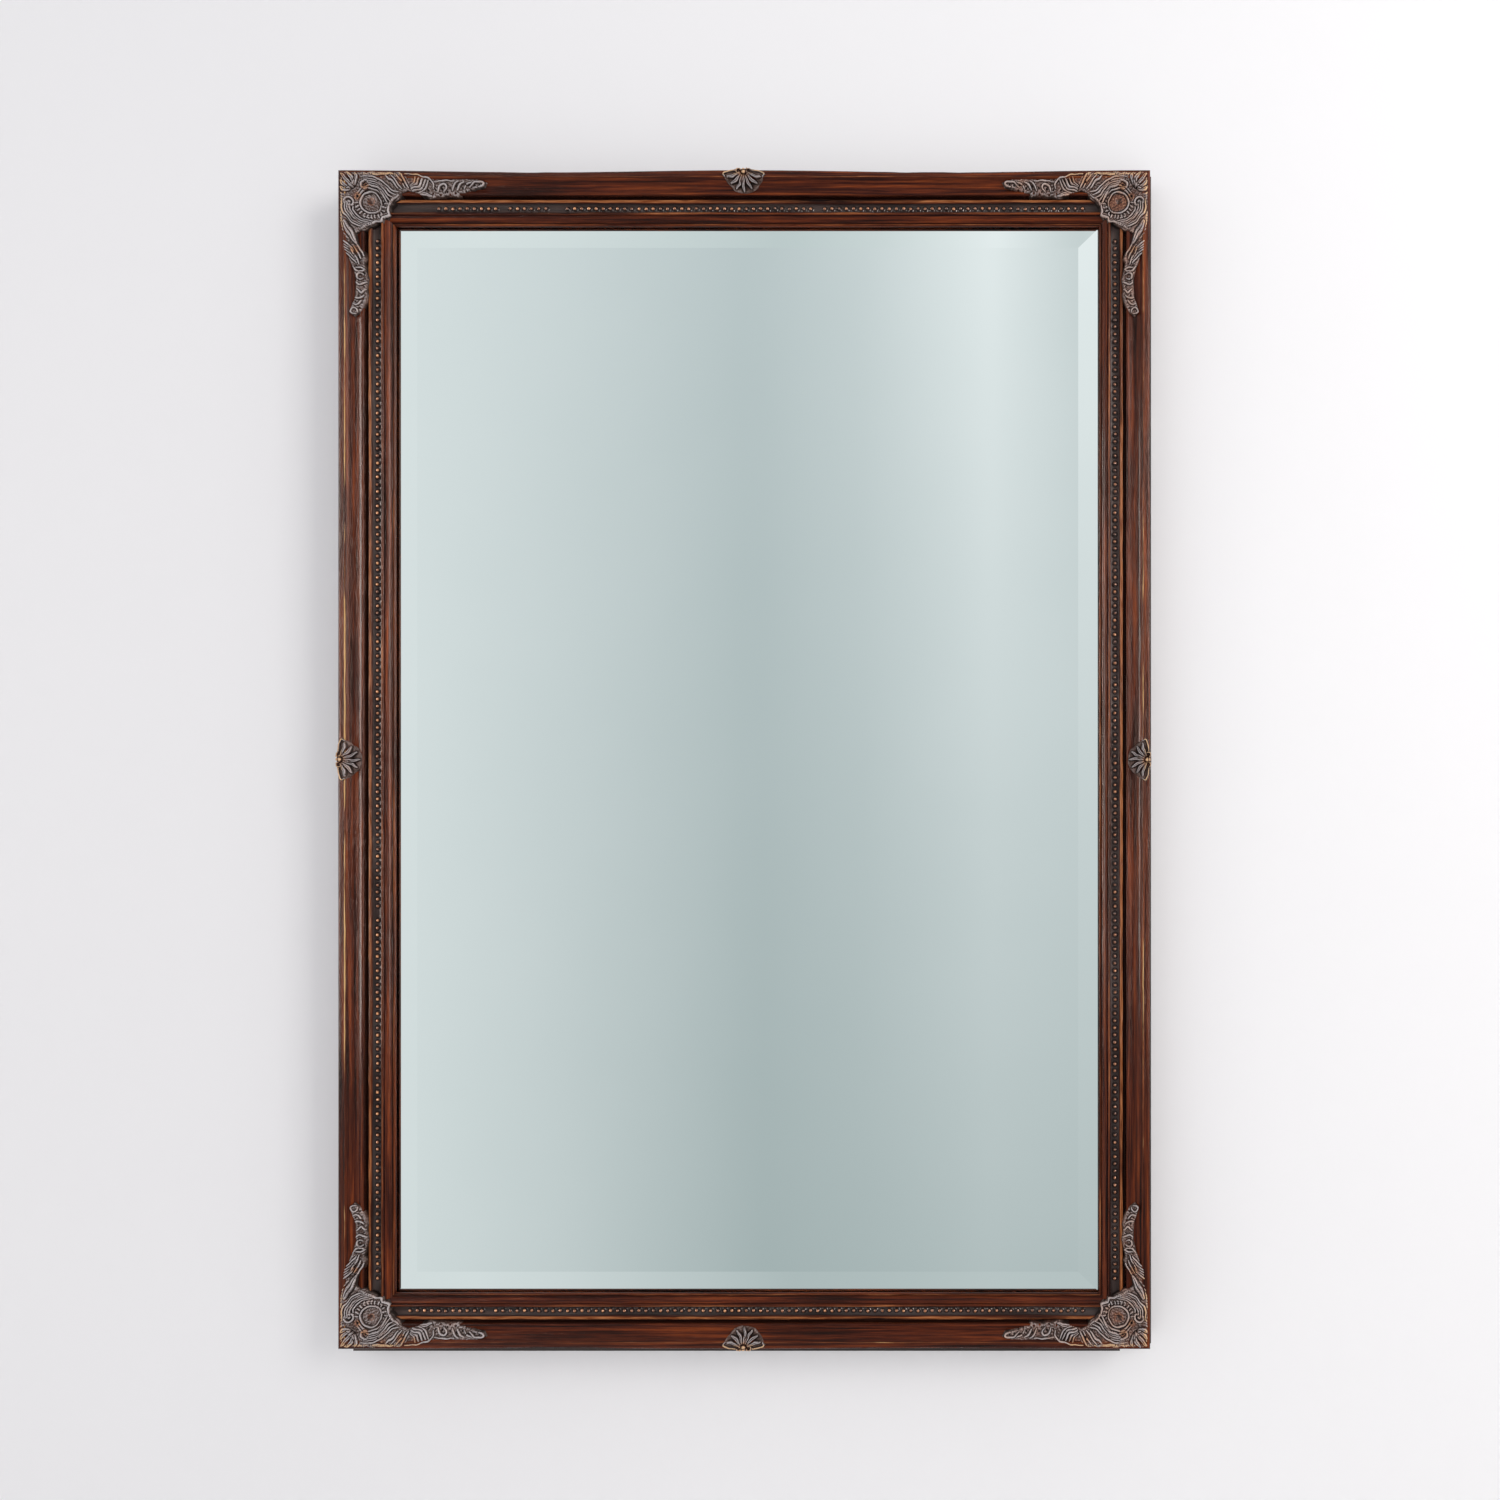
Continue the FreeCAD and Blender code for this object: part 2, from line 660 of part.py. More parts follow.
def makeRing(name, hand):
    """One D-ring: wire bent round a half ellipse in short chords, and closed by the straight bar
    that turns in the strap. It hangs straight down."""
    radius = number("Size.wireRadius")
    half = number("Size.ringInside") / 2 + radius
    drop = number("Size.ringDrop")
    spots = [V(), V(half, 0, 0)]
    for i in range(1, ringChords):
        angle = math.pi * i / ringChords
        spots.append(V(half * math.cos(angle), 0, -drop * math.sin(angle) ** 0.7))
    spots += [V(-half, 0, 0), V()]
    path = Part.Wire(Part.makePolygon(spots))
    wire = Part.Wire(Part.Circle(V(), V(1, 0, 0), radius).toShape())
    ring = doc.addObject("Part::Feature", name + "Ring")
    ring.Shape = path.makePipeShell([wire], True, False, 1)
    bind(ring, Placement_Base_x="%s * %d" % (hangerX, hand))
    bind(ring, Placement_Base_y="-Size.padThick + " + axisOut, Placement_Base_z="Size.hangerRise")
    return keep(ring, name + "_hanging_ring")


def makePads():
    """Four square pads that keep the battens off the wall."""
    pads = []
    for right in (-1, 1):
        for up in (-1, 1):
            pad = doc.addObject("Part::Box", "Pad")
            bind(pad, Length="Size.padWide", Width="Size.padThick", Height="Size.padWide")
            x = "(Size.frameWide / 2 - Size.padInset - Size.padWide / 2) * %d" % right
            z = "(Size.frameTall / 2 - Size.padInset - Size.padWide / 2) * %d" % up
            bind(pad, Placement_Base_x=x + " - Size.padWide / 2", Placement_Base_y="-Size.padThick")
            bind(pad, Placement_Base_z=z + " - Size.padWide / 2")
            pads.append(pad)
    return keep(group("Pads", pads), "wall_pads")


makePlate()
makeBoard()
battens = makeBattens()
nails = makeNails()
points = makePoints()
mitreNails = makeMitreNails()
hands = {"left": -1, "right": 1}
screws = {name: makeScrew(hand) for name, hand in hands.items()}
fixings = [nails, points, mitreNails, keep(group("Screws", list(screws.values())), "hanger_screws")]
corners = {side: makeCorner(side) for side in sides}
for side in sides:
    makeBeads(side)
    bedded = group(side + "Bedded", fixings + [corners[side], corners[lastCorner[side]], makeShell(side)])
    keep(cut(side.capitalize() + "Rail", railBlanks[side], bedded), side + "_rail")
    held = group(side + "Held", fixings)
    keep(cut(side.capitalize() + "BackBatten", battens[side], held), side + "_back_batten")
straps = [makeStrap(name, hand, screws[name]) for name, hand in hands.items()]
keep(group("Straps", straps), "hanger_straps")
for name, hand in hands.items():
    makeRing(name, hand)
makePads()
doc.recompute()

for thing in doc.Objects:
    if "Invalid" in thing.State or "Error" in thing.State:
        raise RuntimeError("%s did not build: %s" % (thing.Name, thing.State))
for label, thing in subParts.items():
    if thing.Shape.isNull() or not thing.Shape.isValid():
        raise RuntimeError("%s has no valid shape" % label)
os.makedirs("parts", exist_ok=True)
for label, thing in subParts.items():
    thing.Shape.exportStep("parts/%s.step" % label)
print("wrote", len(subParts), "pieces")
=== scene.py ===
import bpy
import math
import random
import numpy as np
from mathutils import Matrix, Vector


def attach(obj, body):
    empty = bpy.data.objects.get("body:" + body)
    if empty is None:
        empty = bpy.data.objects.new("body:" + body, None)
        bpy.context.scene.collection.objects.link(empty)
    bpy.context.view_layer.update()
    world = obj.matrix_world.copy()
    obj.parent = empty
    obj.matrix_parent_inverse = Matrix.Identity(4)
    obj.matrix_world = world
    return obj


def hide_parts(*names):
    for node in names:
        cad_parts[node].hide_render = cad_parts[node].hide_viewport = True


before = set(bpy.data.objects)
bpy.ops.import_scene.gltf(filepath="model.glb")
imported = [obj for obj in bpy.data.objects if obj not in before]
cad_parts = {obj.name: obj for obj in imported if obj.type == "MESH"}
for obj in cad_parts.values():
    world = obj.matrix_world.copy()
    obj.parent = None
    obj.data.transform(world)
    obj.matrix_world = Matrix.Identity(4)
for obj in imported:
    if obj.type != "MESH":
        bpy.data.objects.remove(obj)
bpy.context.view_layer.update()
mm = 0.001
random.seed(11)

carvedFrame = {"wide": 684, "tall": 994, "back": 14}  # millimetres, as the CAD has it
sideWays = {  # the way along each rail, the way inwards, and the middle of its outer edge
    "top": ((-1, 0, 0), (0, 0, -1), (0, carvedFrame["tall"] / 2)),
    "right": ((0, 0, 1), (-1, 0, 0), (carvedFrame["wide"] / 2, 0)),
    "bottom": ((1, 0, 0), (0, 0, 1), (0, -carvedFrame["tall"] / 2)),
    "left": ((0, 0, -1), (1, 0, 0), (-carvedFrame["wide"] / 2, 0)),
}


def linear(code):
    parts = [int(code[i:i + 2], 16) / 255 for i in (1, 3, 5)]
    return tuple(c / 12.92 if c <= 0.04045 else ((c + 0.055) / 1.055) ** 2.4 for c in parts) + (1,)


# links a node's output, or the first one that a node has in use, to inputs that are given by name
def join(tree, node, sources):
    for name, source in sources.items():
        if isinstance(source, bpy.types.Node):
            source = next(output for output in source.outputs if output.enabled)
        tree.links.new(source, node.inputs[name])


# adds one node; an input is a number, a vector, a colour's code, a node or one of its outputs,
# and a ramp's stops are its first, its last and then those between
def addNode(tree, kind, inputs=None, stops=(), **settings):
    added = tree.nodes.new(kind)
    for name, value in settings.items():
        setattr(added, name, value)
    for name, value in (inputs or {}).items():
        if isinstance(value, (bpy.types.Node, bpy.types.NodeSocket)):
            join(tree, added, {name: value})
        else:
            added.inputs[name].default_value = linear(value) if isinstance(value, str) else value
    for i, (spot, tone) in enumerate(stops):
        mark = added.color_ramp.elements[i] if i < 2 else added.color_ramp.elements.new(spot)
        mark.position = spot
        mark.color = linear(tone) if isinstance(tone, str) else (tone, tone, tone, 1)
    return added


def newMaterial(name, inputs=None):
    made = bpy.data.materials.new(name)
    made.use_nodes = True
    tree = made.node_tree
    tree.nodes.clear()
    shader = addNode(tree, "ShaderNodeBsdfPrincipled", inputs)
    addNode(tree, "ShaderNodeOutputMaterial", {"Surface": shader})
    return made, tree, shader


# Softwood moulding, stained and waxed, then rubbed by hand: red-brown with darker and lighter
# streaks along the grain, orange-brown where its arrises are rubbed, painted shade near black in
# its quirks and grooves and on its hidden faces, with soft greasy highlights. The UV map is in metres, U
# along the rail and V across it.
def stainedMoulding():
    made, tree, shader = newMaterial("stained_waxed_rubbed_softwood", {
        "Specular IOR Level": 0.12, "Specular Tint": "#ffdfd2", "Coat Weight": 0.1, "Coat Roughness": 0.14})
    uv = addNode(tree, "ShaderNodeUVMap", uv_map="grain")
    along = addNode(tree, "ShaderNodeMapping", {"Vector": uv, "Scale": (8, 330, 1)})  # streaks of 125 by 3 mm
    streak = addNode(
        tree, "ShaderNodeTexNoise", {"Vector": along, "Scale": 1, "Detail": 5, "Roughness": 0.62})
    narrow = addNode(tree, "ShaderNodeMapping", {"Vector": uv, "Scale": (55, 1500, 1)})  # 18 by 0.7 mm
    fine = addNode(tree, "ShaderNodeTexNoise", {"Vector": narrow, "Scale": 1, "Detail": 3})
    wide = addNode(tree, "ShaderNodeMapping", {"Vector": uv, "Scale": (13, 75, 1)})  # clouds of 77 by 13 mm
    cloud = addNode(tree, "ShaderNodeTexNoise", {"Vector": wide, "Scale": 1, "Detail": 4})
    wood = addNode(tree, "ShaderNodeValToRGB", {"Fac": streak}, [
        (0.33, "#190703"), (0.7, "#8f4219"), (0.45, "#40160a"), (0.56, "#642a12")])
    lines = addNode(tree, "ShaderNodeValToRGB", {"Fac": fine}, [(0.36, 0.66), (0.6, 1.0)])
    shade = addNode(tree, "ShaderNodeValToRGB", {"Fac": cloud}, [(0.38, 0.66), (0.58, 1.0)])
    for strength, darker in ((0.75, lines), (0.8, shade)):
        wood = addNode(
            tree, "ShaderNodeMix", {0: strength, 6: wood, 7: darker}, data_type="RGBA", blend_type="MULTIPLY")
    rub = addNode(tree, "ShaderNodeAttribute", attribute_name="rub").outputs["Fac"]
    patchy = addNode(tree, "ShaderNodeMath", {0: streak, 1: cloud}, operation="ADD")
    worn = addNode(tree, "ShaderNodeMath", {0: rub, 1: patchy}, operation="MULTIPLY")
    worn = addNode(tree, "ShaderNodeValToRGB", {"Fac": worn}, [(0.72, 0.0), (1.12, 1.0), (0.94, 0.4)])
    bared = addNode(tree, "ShaderNodeValToRGB", {"Fac": fine}, [(0.35, "#6e3413"), (0.68, "#b57548")])
    colour = addNode(tree, "ShaderNodeMix", {0: worn, 6: wood, 7: bared}, data_type="RGBA")
    gold = addNode(tree, "ShaderNodeAttribute", attribute_name="gold").outputs["Fac"]
    gold = addNode(tree, "ShaderNodeMath", {0: gold, 1: cloud}, operation="MULTIPLY")
    gold = addNode(tree, "ShaderNodeValToRGB", {"Fac": gold}, [(0.49, 0.0), (0.58, 0.9)])
    colour = addNode(tree, "ShaderNodeMix", {0: gold, 6: colour, 7: "#d6ab70"}, data_type="RGBA")
    # painted shade: darkens the quirks, the grooves and the hidden faces near black
    painted_shade = addNode(tree, "ShaderNodeAttribute", attribute_name="painted_shade").outputs["Fac"]
    painted_shade = addNode(tree, "ShaderNodeMath", {0: painted_shade, 1: 0.93}, operation="MULTIPLY")
    colour = addNode(tree, "ShaderNodeMix", {0: painted_shade, 6: colour, 7: "#24120d"}, data_type="RGBA")
    soot = addNode(tree, "ShaderNodeAttribute", attribute_name="soot").outputs["Fac"]
    soot = addNode(tree, "ShaderNodeMath", {0: soot, 1: 0.85}, operation="MULTIPLY")
    sooty = addNode(tree, "ShaderNodeValToRGB", {"Fac": cloud}, [(0.4, "#2f2a29"), (0.62, "#4c4644")])
    colour = addNode(tree, "ShaderNodeMix", {0: soot, 6: colour, 7: sooty}, data_type="RGBA")
    rough = addNode(tree, "ShaderNodeMapRange", {"Value": streak, "To Min": 0.17, "To Max": 0.33})
    pits = addNode(tree, "ShaderNodeTexVoronoi", {"Vector": narrow, "Scale": 1.6})
    relief = addNode(tree, "ShaderNodeMath", {0: streak, 1: pits.outputs["Distance"]}, operation="ADD")
    relief = addNode(tree, "ShaderNodeMath", {0: relief, 1: fine}, operation="ADD")
    bump = addNode(tree, "ShaderNodeBump", {"Height": relief, "Strength": 0.6, "Distance": 0.0004})
    join(tree, shader, {"Base Color": colour, "Roughness": rough, "Normal": bump})
    return made


# Pressed composition carving, stained, washed with grey lime and wiped: lilac-grey on the high places with a
# painted highlight on the ridges, brown-black in the cuts from the stain and from painted shade, red-brown
# where it is rubbed through, gilt left on the lip.
def limedCarving():
    made, tree, shader = newMaterial("pressed_limed_wiped_composition", {
        "Specular IOR Level": 0.32, "Specular Tint": "#ffeee8"})
    coords = addNode(tree, "ShaderNodeTexCoord").outputs["Object"]
    fine = addNode(tree, "ShaderNodeTexNoise", {"Vector": coords, "Scale": 1100, "Detail": 4})  # 0.9 mm
    patch = addNode(  # 9 mm
        tree, "ShaderNodeTexNoise", {"Vector": coords, "Scale": 110, "Detail": 5, "Roughness": 0.6})
    # painted highlight on the ridges and painted shade in the cuts and on steep sides, over the wiped stain
    glaze_and_painted_light = addNode(tree, "ShaderNodeAttribute", attribute_name="glaze_and_painted_light").outputs["Fac"]
    spread = addNode(tree, "ShaderNodeMath", {0: fine, 1: patch}, operation="ADD")
    spread = addNode(tree, "ShaderNodeMath", {0: spread, 1: 0.6, 2: -0.6}, operation="MULTIPLY_ADD")
    level = addNode(tree, "ShaderNodeMath", {0: glaze_and_painted_light, 1: spread}, operation="ADD")
    lime = addNode(tree, "ShaderNodeValToRGB", {"Fac": level}, [
        (0.2, "#120906"), (0.95, "#b1aaaa"), (0.34, "#2f1911"),
        (0.44, "#4b3831"), (0.54, "#685c59"), (0.72, "#867d7d")])
    brown = addNode(tree, "ShaderNodeValToRGB", {"Fac": level}, [
        (0.16, "#160b08"), (0.9, "#b5855f"), (0.36, "#4e2718"), (0.6, "#7a4a33")])
    warm = addNode(tree, "ShaderNodeAttribute", attribute_name="warm").outputs["Fac"]
    warm = addNode(tree, "ShaderNodeMath", {0: warm, 1: patch}, operation="MULTIPLY")
    warm = addNode(tree, "ShaderNodeValToRGB", {"Fac": warm}, [(0.22, 0.0), (0.48, 0.9)])
    colour = addNode(tree, "ShaderNodeMix", {0: warm, 6: lime, 7: brown}, data_type="RGBA")
    edge = addNode(tree, "ShaderNodeAttribute", attribute_name="edge").outputs["Fac"]
    edge = addNode(tree, "ShaderNodeMath", {0: edge, 1: patch}, operation="MULTIPLY")
    edge = addNode(tree, "ShaderNodeMath", {0: edge, 1: glaze_and_painted_light}, operation="MULTIPLY")
    gilt = addNode(tree, "ShaderNodeValToRGB", {"Fac": edge}, [(0.31, 0.0), (0.4, 1.0)])
    colour = addNode(tree, "ShaderNodeMix", {0: gilt, 6: colour, 7: "#cfa981"}, data_type="RGBA")
    rough = addNode(tree, "ShaderNodeMapRange", {"Value": fine, "To Min": 0.4, "To Max": 0.62})
    bump = addNode(tree, "ShaderNodeBump", {"Height": fine, "Strength": 0.4, "Distance": 0.0003})
    join(tree, shader, {"Base Color": colour, "Roughness": rough, "Normal": bump})
    return made


# Beads painted copper-brown and rubbed: warm tips that also carry a painted highlight, sooty feet.
def copperBeads():
    made, tree, shader = newMaterial("painted_rubbed_copper_beads", {"Roughness": 0.26, "Metallic": 0.1})
    coords = addNode(tree, "ShaderNodeTexCoord").outputs["Object"]
    spots = addNode(tree, "ShaderNodeTexNoise", {"Vector": coords, "Scale": 260, "Detail": 4})  # 4 mm
    # the top of each bead is lighter: rubbed copper and a painted highlight
    tip = addNode(tree, "ShaderNodeAttribute", attribute_name="tip").outputs["Fac"]
    shift = addNode(tree, "ShaderNodeMath", {0: spots, 1: 0.9, 2: -0.5}, operation="MULTIPLY_ADD")
    level = addNode(tree, "ShaderNodeMath", {0: tip, 1: shift}, operation="ADD")
    colour = addNode(tree, "ShaderNodeValToRGB", {"Fac": level}, [
        (0.16, "#2b2321"), (0.95, "#dd9f6c"), (0.34, "#58382a"), (0.66, "#99603c")])
    bump = addNode(tree, "ShaderNodeBump", {"Height": spots, "Strength": 0.3, "Distance": 0.0002})
    join(tree, shader, {"Base Color": colour, "Normal": bump})
    return made


# Silvered float glass with a ground and polished bevel: a clear reflection with a cool green cast.
def silveredGlass():
    made, tree, shader = newMaterial("silvered_ground_float_glass", {"Metallic": 1})
    coords = addNode(tree, "ShaderNodeTexCoord").outputs["Object"]
    haze = addNode(tree, "ShaderNodeTexNoise", {"Vector": coords, "Scale": 9, "Detail": 3})  # 110 mm
    colour = addNode(tree, "ShaderNodeMix", {0: haze, 6: "#e8f0ef", 7: "#edf4f3"}, data_type="RGBA")
    dust = addNode(tree, "ShaderNodeTexNoise", {"Vector": coords, "Scale": 260, "Detail": 4})  # 4 mm
    rough = addNode(
        tree, "ShaderNodeMapRange", {"Value": dust, "From Min": 0.4, "To Min": 0.02, "To Max": 0.045})
    join(tree, shader, {"Base Color": colour, "Roughness": rough})
    return made


# a finish of fine and coarse specks, size of them to the metre, between two tones
def plainFinish(name, dark, light, size, stretch=(1, 1, 1), rough=(0.5, 0.7), metallic=0):
    made, tree, shader = newMaterial(name, {"Metallic": metallic})
    coords = addNode(tree, "ShaderNodeTexCoord").outputs["Object"]
    stretched = addNode(tree, "ShaderNodeMapping", {"Vector": coords, "Scale": stretch})
    coarse = addNode(tree, "ShaderNodeTexNoise", {"Vector": stretched, "Scale": size, "Detail": 4})
    fine = addNode(tree, "ShaderNodeTexNoise", {"Vector": stretched, "Scale": size * 6, "Detail": 3})
    both = addNode(tree, "ShaderNodeMath", {0: fine, 1: 0.5, 2: coarse}, operation="MULTIPLY_ADD")
    share = addNode(tree, "ShaderNodeMapRange", {"Value": both, "From Min": 0.5, "From Max": 1.0})
    colour = addNode(tree, "ShaderNodeMix", {0: share, 6: dark, 7: light}, data_type="RGBA")
    gloss = addNode(tree, "ShaderNodeMapRange", {"Value": fine, "To Min": rough[0], "To Max": rough[1]})
    bump = addNode(tree, "ShaderNodeBump", {"Height": both, "Strength": 0.4, "Distance": 0.0003})
    join(tree, shader, {"Base Color": colour, "Roughness": gloss, "Normal": bump})
    return made


mouldingWood = stainedMoulding()
carvingLime = limedCarving()
beadPaint = copperBeads()
finishes = {
    "mirror_plate": silveredGlass(),
    # pressed wood fibre: flat brown with a fine felt
    "backing_board": plainFinish("pressed_hardboard", "#4a3222", "#7a5a3e", 220, rough=(0.7, 0.85)),
    # drawn steel nails, dull grey with brown rust spots
    "batten_nails": plainFinish(
        "drawn_rusted_steel", "#4a4340", "#77716c", 700, rough=(0.4, 0.6), metallic=0.9),
    "mitre_nails": plainFinish("sheared_steel", "#4e4a47", "#7d7874", 500, rough=(0.4, 0.6), metallic=0.9),
    # zinc coated points, pale grey with a faint spangle
    "glazing_points": plainFinish(
        "spangled_zinc", "#8b8e90", "#b8babb", 260, rough=(0.35, 0.5), metallic=0.9),
    # nickel plated hangers, bright with a soft haze
    "hanger_straps": plainFinish(
        "nickel_plate", "#a8a49c", "#cac6bd", 300, rough=(0.2, 0.34), metallic=1.0),
    # moulded rubber, black and matte
    "wall_pads": plainFinish("moulded_rubber", "#161616", "#262524", 500, rough=(0.75, 0.9)),
}
for node in ("hanger_screws", "left_hanging_ring", "right_hanging_ring"):
    finishes[node] = finishes["hanger_straps"]
# sawn softwood, stained near black, its grain along each batten
upright = plainFinish("sawn_stained_upright", "#120b09", "#2e1d16", 40, (12, 12, 0.6), (0.65, 0.85))
lying = plainFinish("sawn_stained_lying", "#120b09", "#2e1d16", 40, (0.6, 12, 12), (0.65, 0.85))
for side in sideWays:
    finishes[side + "_back_batten"] = upright if side in ("left", "right") else lying
for node, finish in finishes.items():
    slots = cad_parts[node].data.materials
    slots.clear()
    slots.append(finish)
print("materials are ready")


def onlySelect(thing):
    bpy.ops.object.select_all(action="DESELECT")
    thing.select_set(True)
    bpy.context.view_layer.objects.active = thing


def setAttribute(thing, name, values):
    made = thing.data.attributes.new(name, "FLOAT", "POINT")
    made.data.foreach_set("value", np.asarray(values, np.float32))


def coordsOf(thing):
    flat = np.zeros(len(thing.data.vertices) * 3, np.float32)
    thing.data.vertices.foreach_get("co", flat)
    return flat.reshape(-1, 3).astype(float)


def setCoords(thing, coords):
    thing.data.vertices.foreach_set("co", np.asarray(coords, np.float32).ravel())
    thing.data.update()


# a place on a rail: millimetres along it, inwards from its outer edge and forwards from its back
def toSide(side, along, inward, height):
    way, inwards, middle = sideWays[side]
    x = middle[0] + along * way[0] + inward * inwards[0]
    z = middle[1] + along * way[2] + inward * inwards[2]
    return np.stack([x, -carvedFrame["back"] - height, z], axis=-1) * mm


def railLength(side):
    return carvedFrame["wide"] if side in ("top", "bottom") else carvedFrame["tall"]


# points its faces outwards, smooths them up to an angle and lets the piece stand for its CAD node
def finishPiece(piece, node, angle):
    onlySelect(piece)
    bpy.ops.object.mode_set(mode="EDIT")
    bpy.ops.mesh.select_all(action="SELECT")
    bpy.ops.mesh.normals_make_consistent(inside=False)
    bpy.ops.object.mode_set(mode="OBJECT")
    bpy.ops.object.shade_smooth_by_angle(angle=math.radians(angle))
    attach(piece, "mirror")
    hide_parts(node)


# smooth unevenness between -1 and 1 over a plane, its waves about as long as a size
def wobble(u, v, size, seed):
    dice = np.random.default_rng(seed)
    total = np.zeros(np.shape(u))
    for _ in range(7):
        turn, phase, pull = dice.uniform(0, 6.28, 2).tolist() + [dice.uniform(0.7, 1.6) * 6.28 / size]
        total += np.sin((u * math.cos(turn) + v * math.sin(turn)) * pull + phase)
    return total / 4


# the section from the outer edge to the sight edge: across, forwards, then how rubbed and gilt
# the surface is there, how much painted shade darkens it, and how sooty it is
section = {
    "points": [
        (0, 0, 0, 0, 0.5, 0), (0, 8, 0, 0, 0.3, 0), (0, 17, 0, 0, 0.1, 0), (0, 22.4, 0.1, 0, 0, 0),
        (-0.5, 24, 0.1, 0, 0, 0), (-1.1, 25.5, 0.4, 0, 0, 0), (-1, 26.7, 0.5, 0.1, 0, 0),
        (0.1, 27.5, 0.3, 0, 0, 0), (1.5, 27.75, 0.15, 0, 0, 0), (2.9, 27.8, 0.1, 0, 0, 0),
        (4.0, 27.85, 0.2, 0.2, 0, 0), (4.6, 28, 0.85, 1, 0, 0), (5.1, 28, 0.9, 1.05, 0, 0),
        (5.6, 27.75, 0.6, 0.8, 0, 0), (6.2, 27.1, 0.2, 0.1, 0, 0), (7.2, 26.2, 0.15, 0, 0, 0),
        (8.6, 25.2, 0.1, 0, 0, 0), (10.2, 24.4, 0, 0, 0, 0), (12, 23.9, 0, 0, 0, 0),
        (13.8, 23.75, 0, 0, 0, 0), (15.4, 23.95, 0, 0, 0, 0), (16.7, 24.3, 0.25, 0, 0, 0),
        (17.7, 24.6, 0.4, 0, 0, 0), (18.4, 24.55, 0.35, 0, 0.1, 0), (18.9, 24.1, 0.1, 0, 0.4, 0),
        (19.2, 22.8, 0, 0, 0.8, 0), (19.45, 20.8, 0, 0, 1, 0), (19.7, 19.2, 0, 0, 1, 0),
        (20.2, 18.8, 0, 0, 1, 0), (20.9, 18.8, 0, 0, 1, 0), (21.3, 19.2, 0, 0, 1, 0),
        (21.55, 20.8, 0, 0, 0.8, 0), (21.75, 21.8, 0.7, 0, 0.1, 0), (22.2, 22.35, 1, 0, 0, 0),
        (23, 22.5, 1, 0.1, 0, 0), (23.9, 22.4, 1, 0, 0, 0), (24.4, 22, 0.7, 0, 0, 0.1),
        (24.65, 21, 0.1, 0, 0.4, 0.6), (24.85, 19.6, 0, 0, 0.5, 1), (25.3, 19.15, 0, 0, 0.3, 1),
        (28.4, 19.05, 0, 0, 0.1, 1), (31.5, 19.15, 0, 0, 0.3, 1), (31.95, 19.6, 0, 0, 0.5, 1),
        (32.15, 21, 0.1, 0, 0.4, 0.6), (32.4, 22, 0.5, 0, 0, 0.1), (32.9, 22.4, 0.85, 0, 0, 0),
        (33.7, 22.4, 0.85, 0, 0, 0), (34.2, 22.1, 0.6, 0, 0, 0), (34.5, 21.3, 0.2, 0, 0.7, 0),
        (34.75, 20.8, 0, 0, 0.9, 0), (35.1, 21.25, 0.2, 0, 0.3, 0), (36, 21.15, 0.3, 0, 0, 0),
        (37.2, 20.6, 0.2, 0, 0, 0), (38.2, 19.75, 0.1, 0, 0, 0), (39, 18.7, 0, 0, 0.1, 0),
        (39.5, 17.8, 0, 0, 0.6, 0), (39.85, 17.4, 0, 0, 0.9, 0), (40.2, 17.6, 0.4, 0, 0.3, 0),
        (40.7, 17.9, 0.95, 0.1, 0, 0), (41.3, 17.85, 0.8, 0.1, 0, 0), (41.75, 17.5, 0.2, 0, 0.1, 0),
        (42, 16.9, 0, 0, 0.2, 0), (42, 15.2, 0, 0, 0.5, 0), (33, 15.2, 0, 0, 0.6, 0),
        (33, 0, 0, 0, 0.4, 0)],
    "stations": 110, "smooth": 50,
    "overrun": 1.5,  # each end is drawn past its mitre and cut back
    "lipWide": 4.6, "dipCurve": 0.7,  # the lip's edge dips inwards between the corners and the shells
    "dip": {"top": 1.8, "right": 0.2, "bottom": 0.7, "left": 0.1},
    "gilt": {"top": 0.35, "right": 0.9, "bottom": 0.75, "left": 1.04},
    # hand-finished: arrises that waver, flat where they meet the mitres, the back and the glass
    "uneven": 0.2, "waves": (34, 21), "seeds": (0, 9),
    "quicker": 4,  # across the rail the waves are this much shorter
    "calm": 12, "waverAcross": (0.5, 41), "waverAbove": 17,
    "grainShift": 1.3,  # metres, so that no two rails show the same grain
}


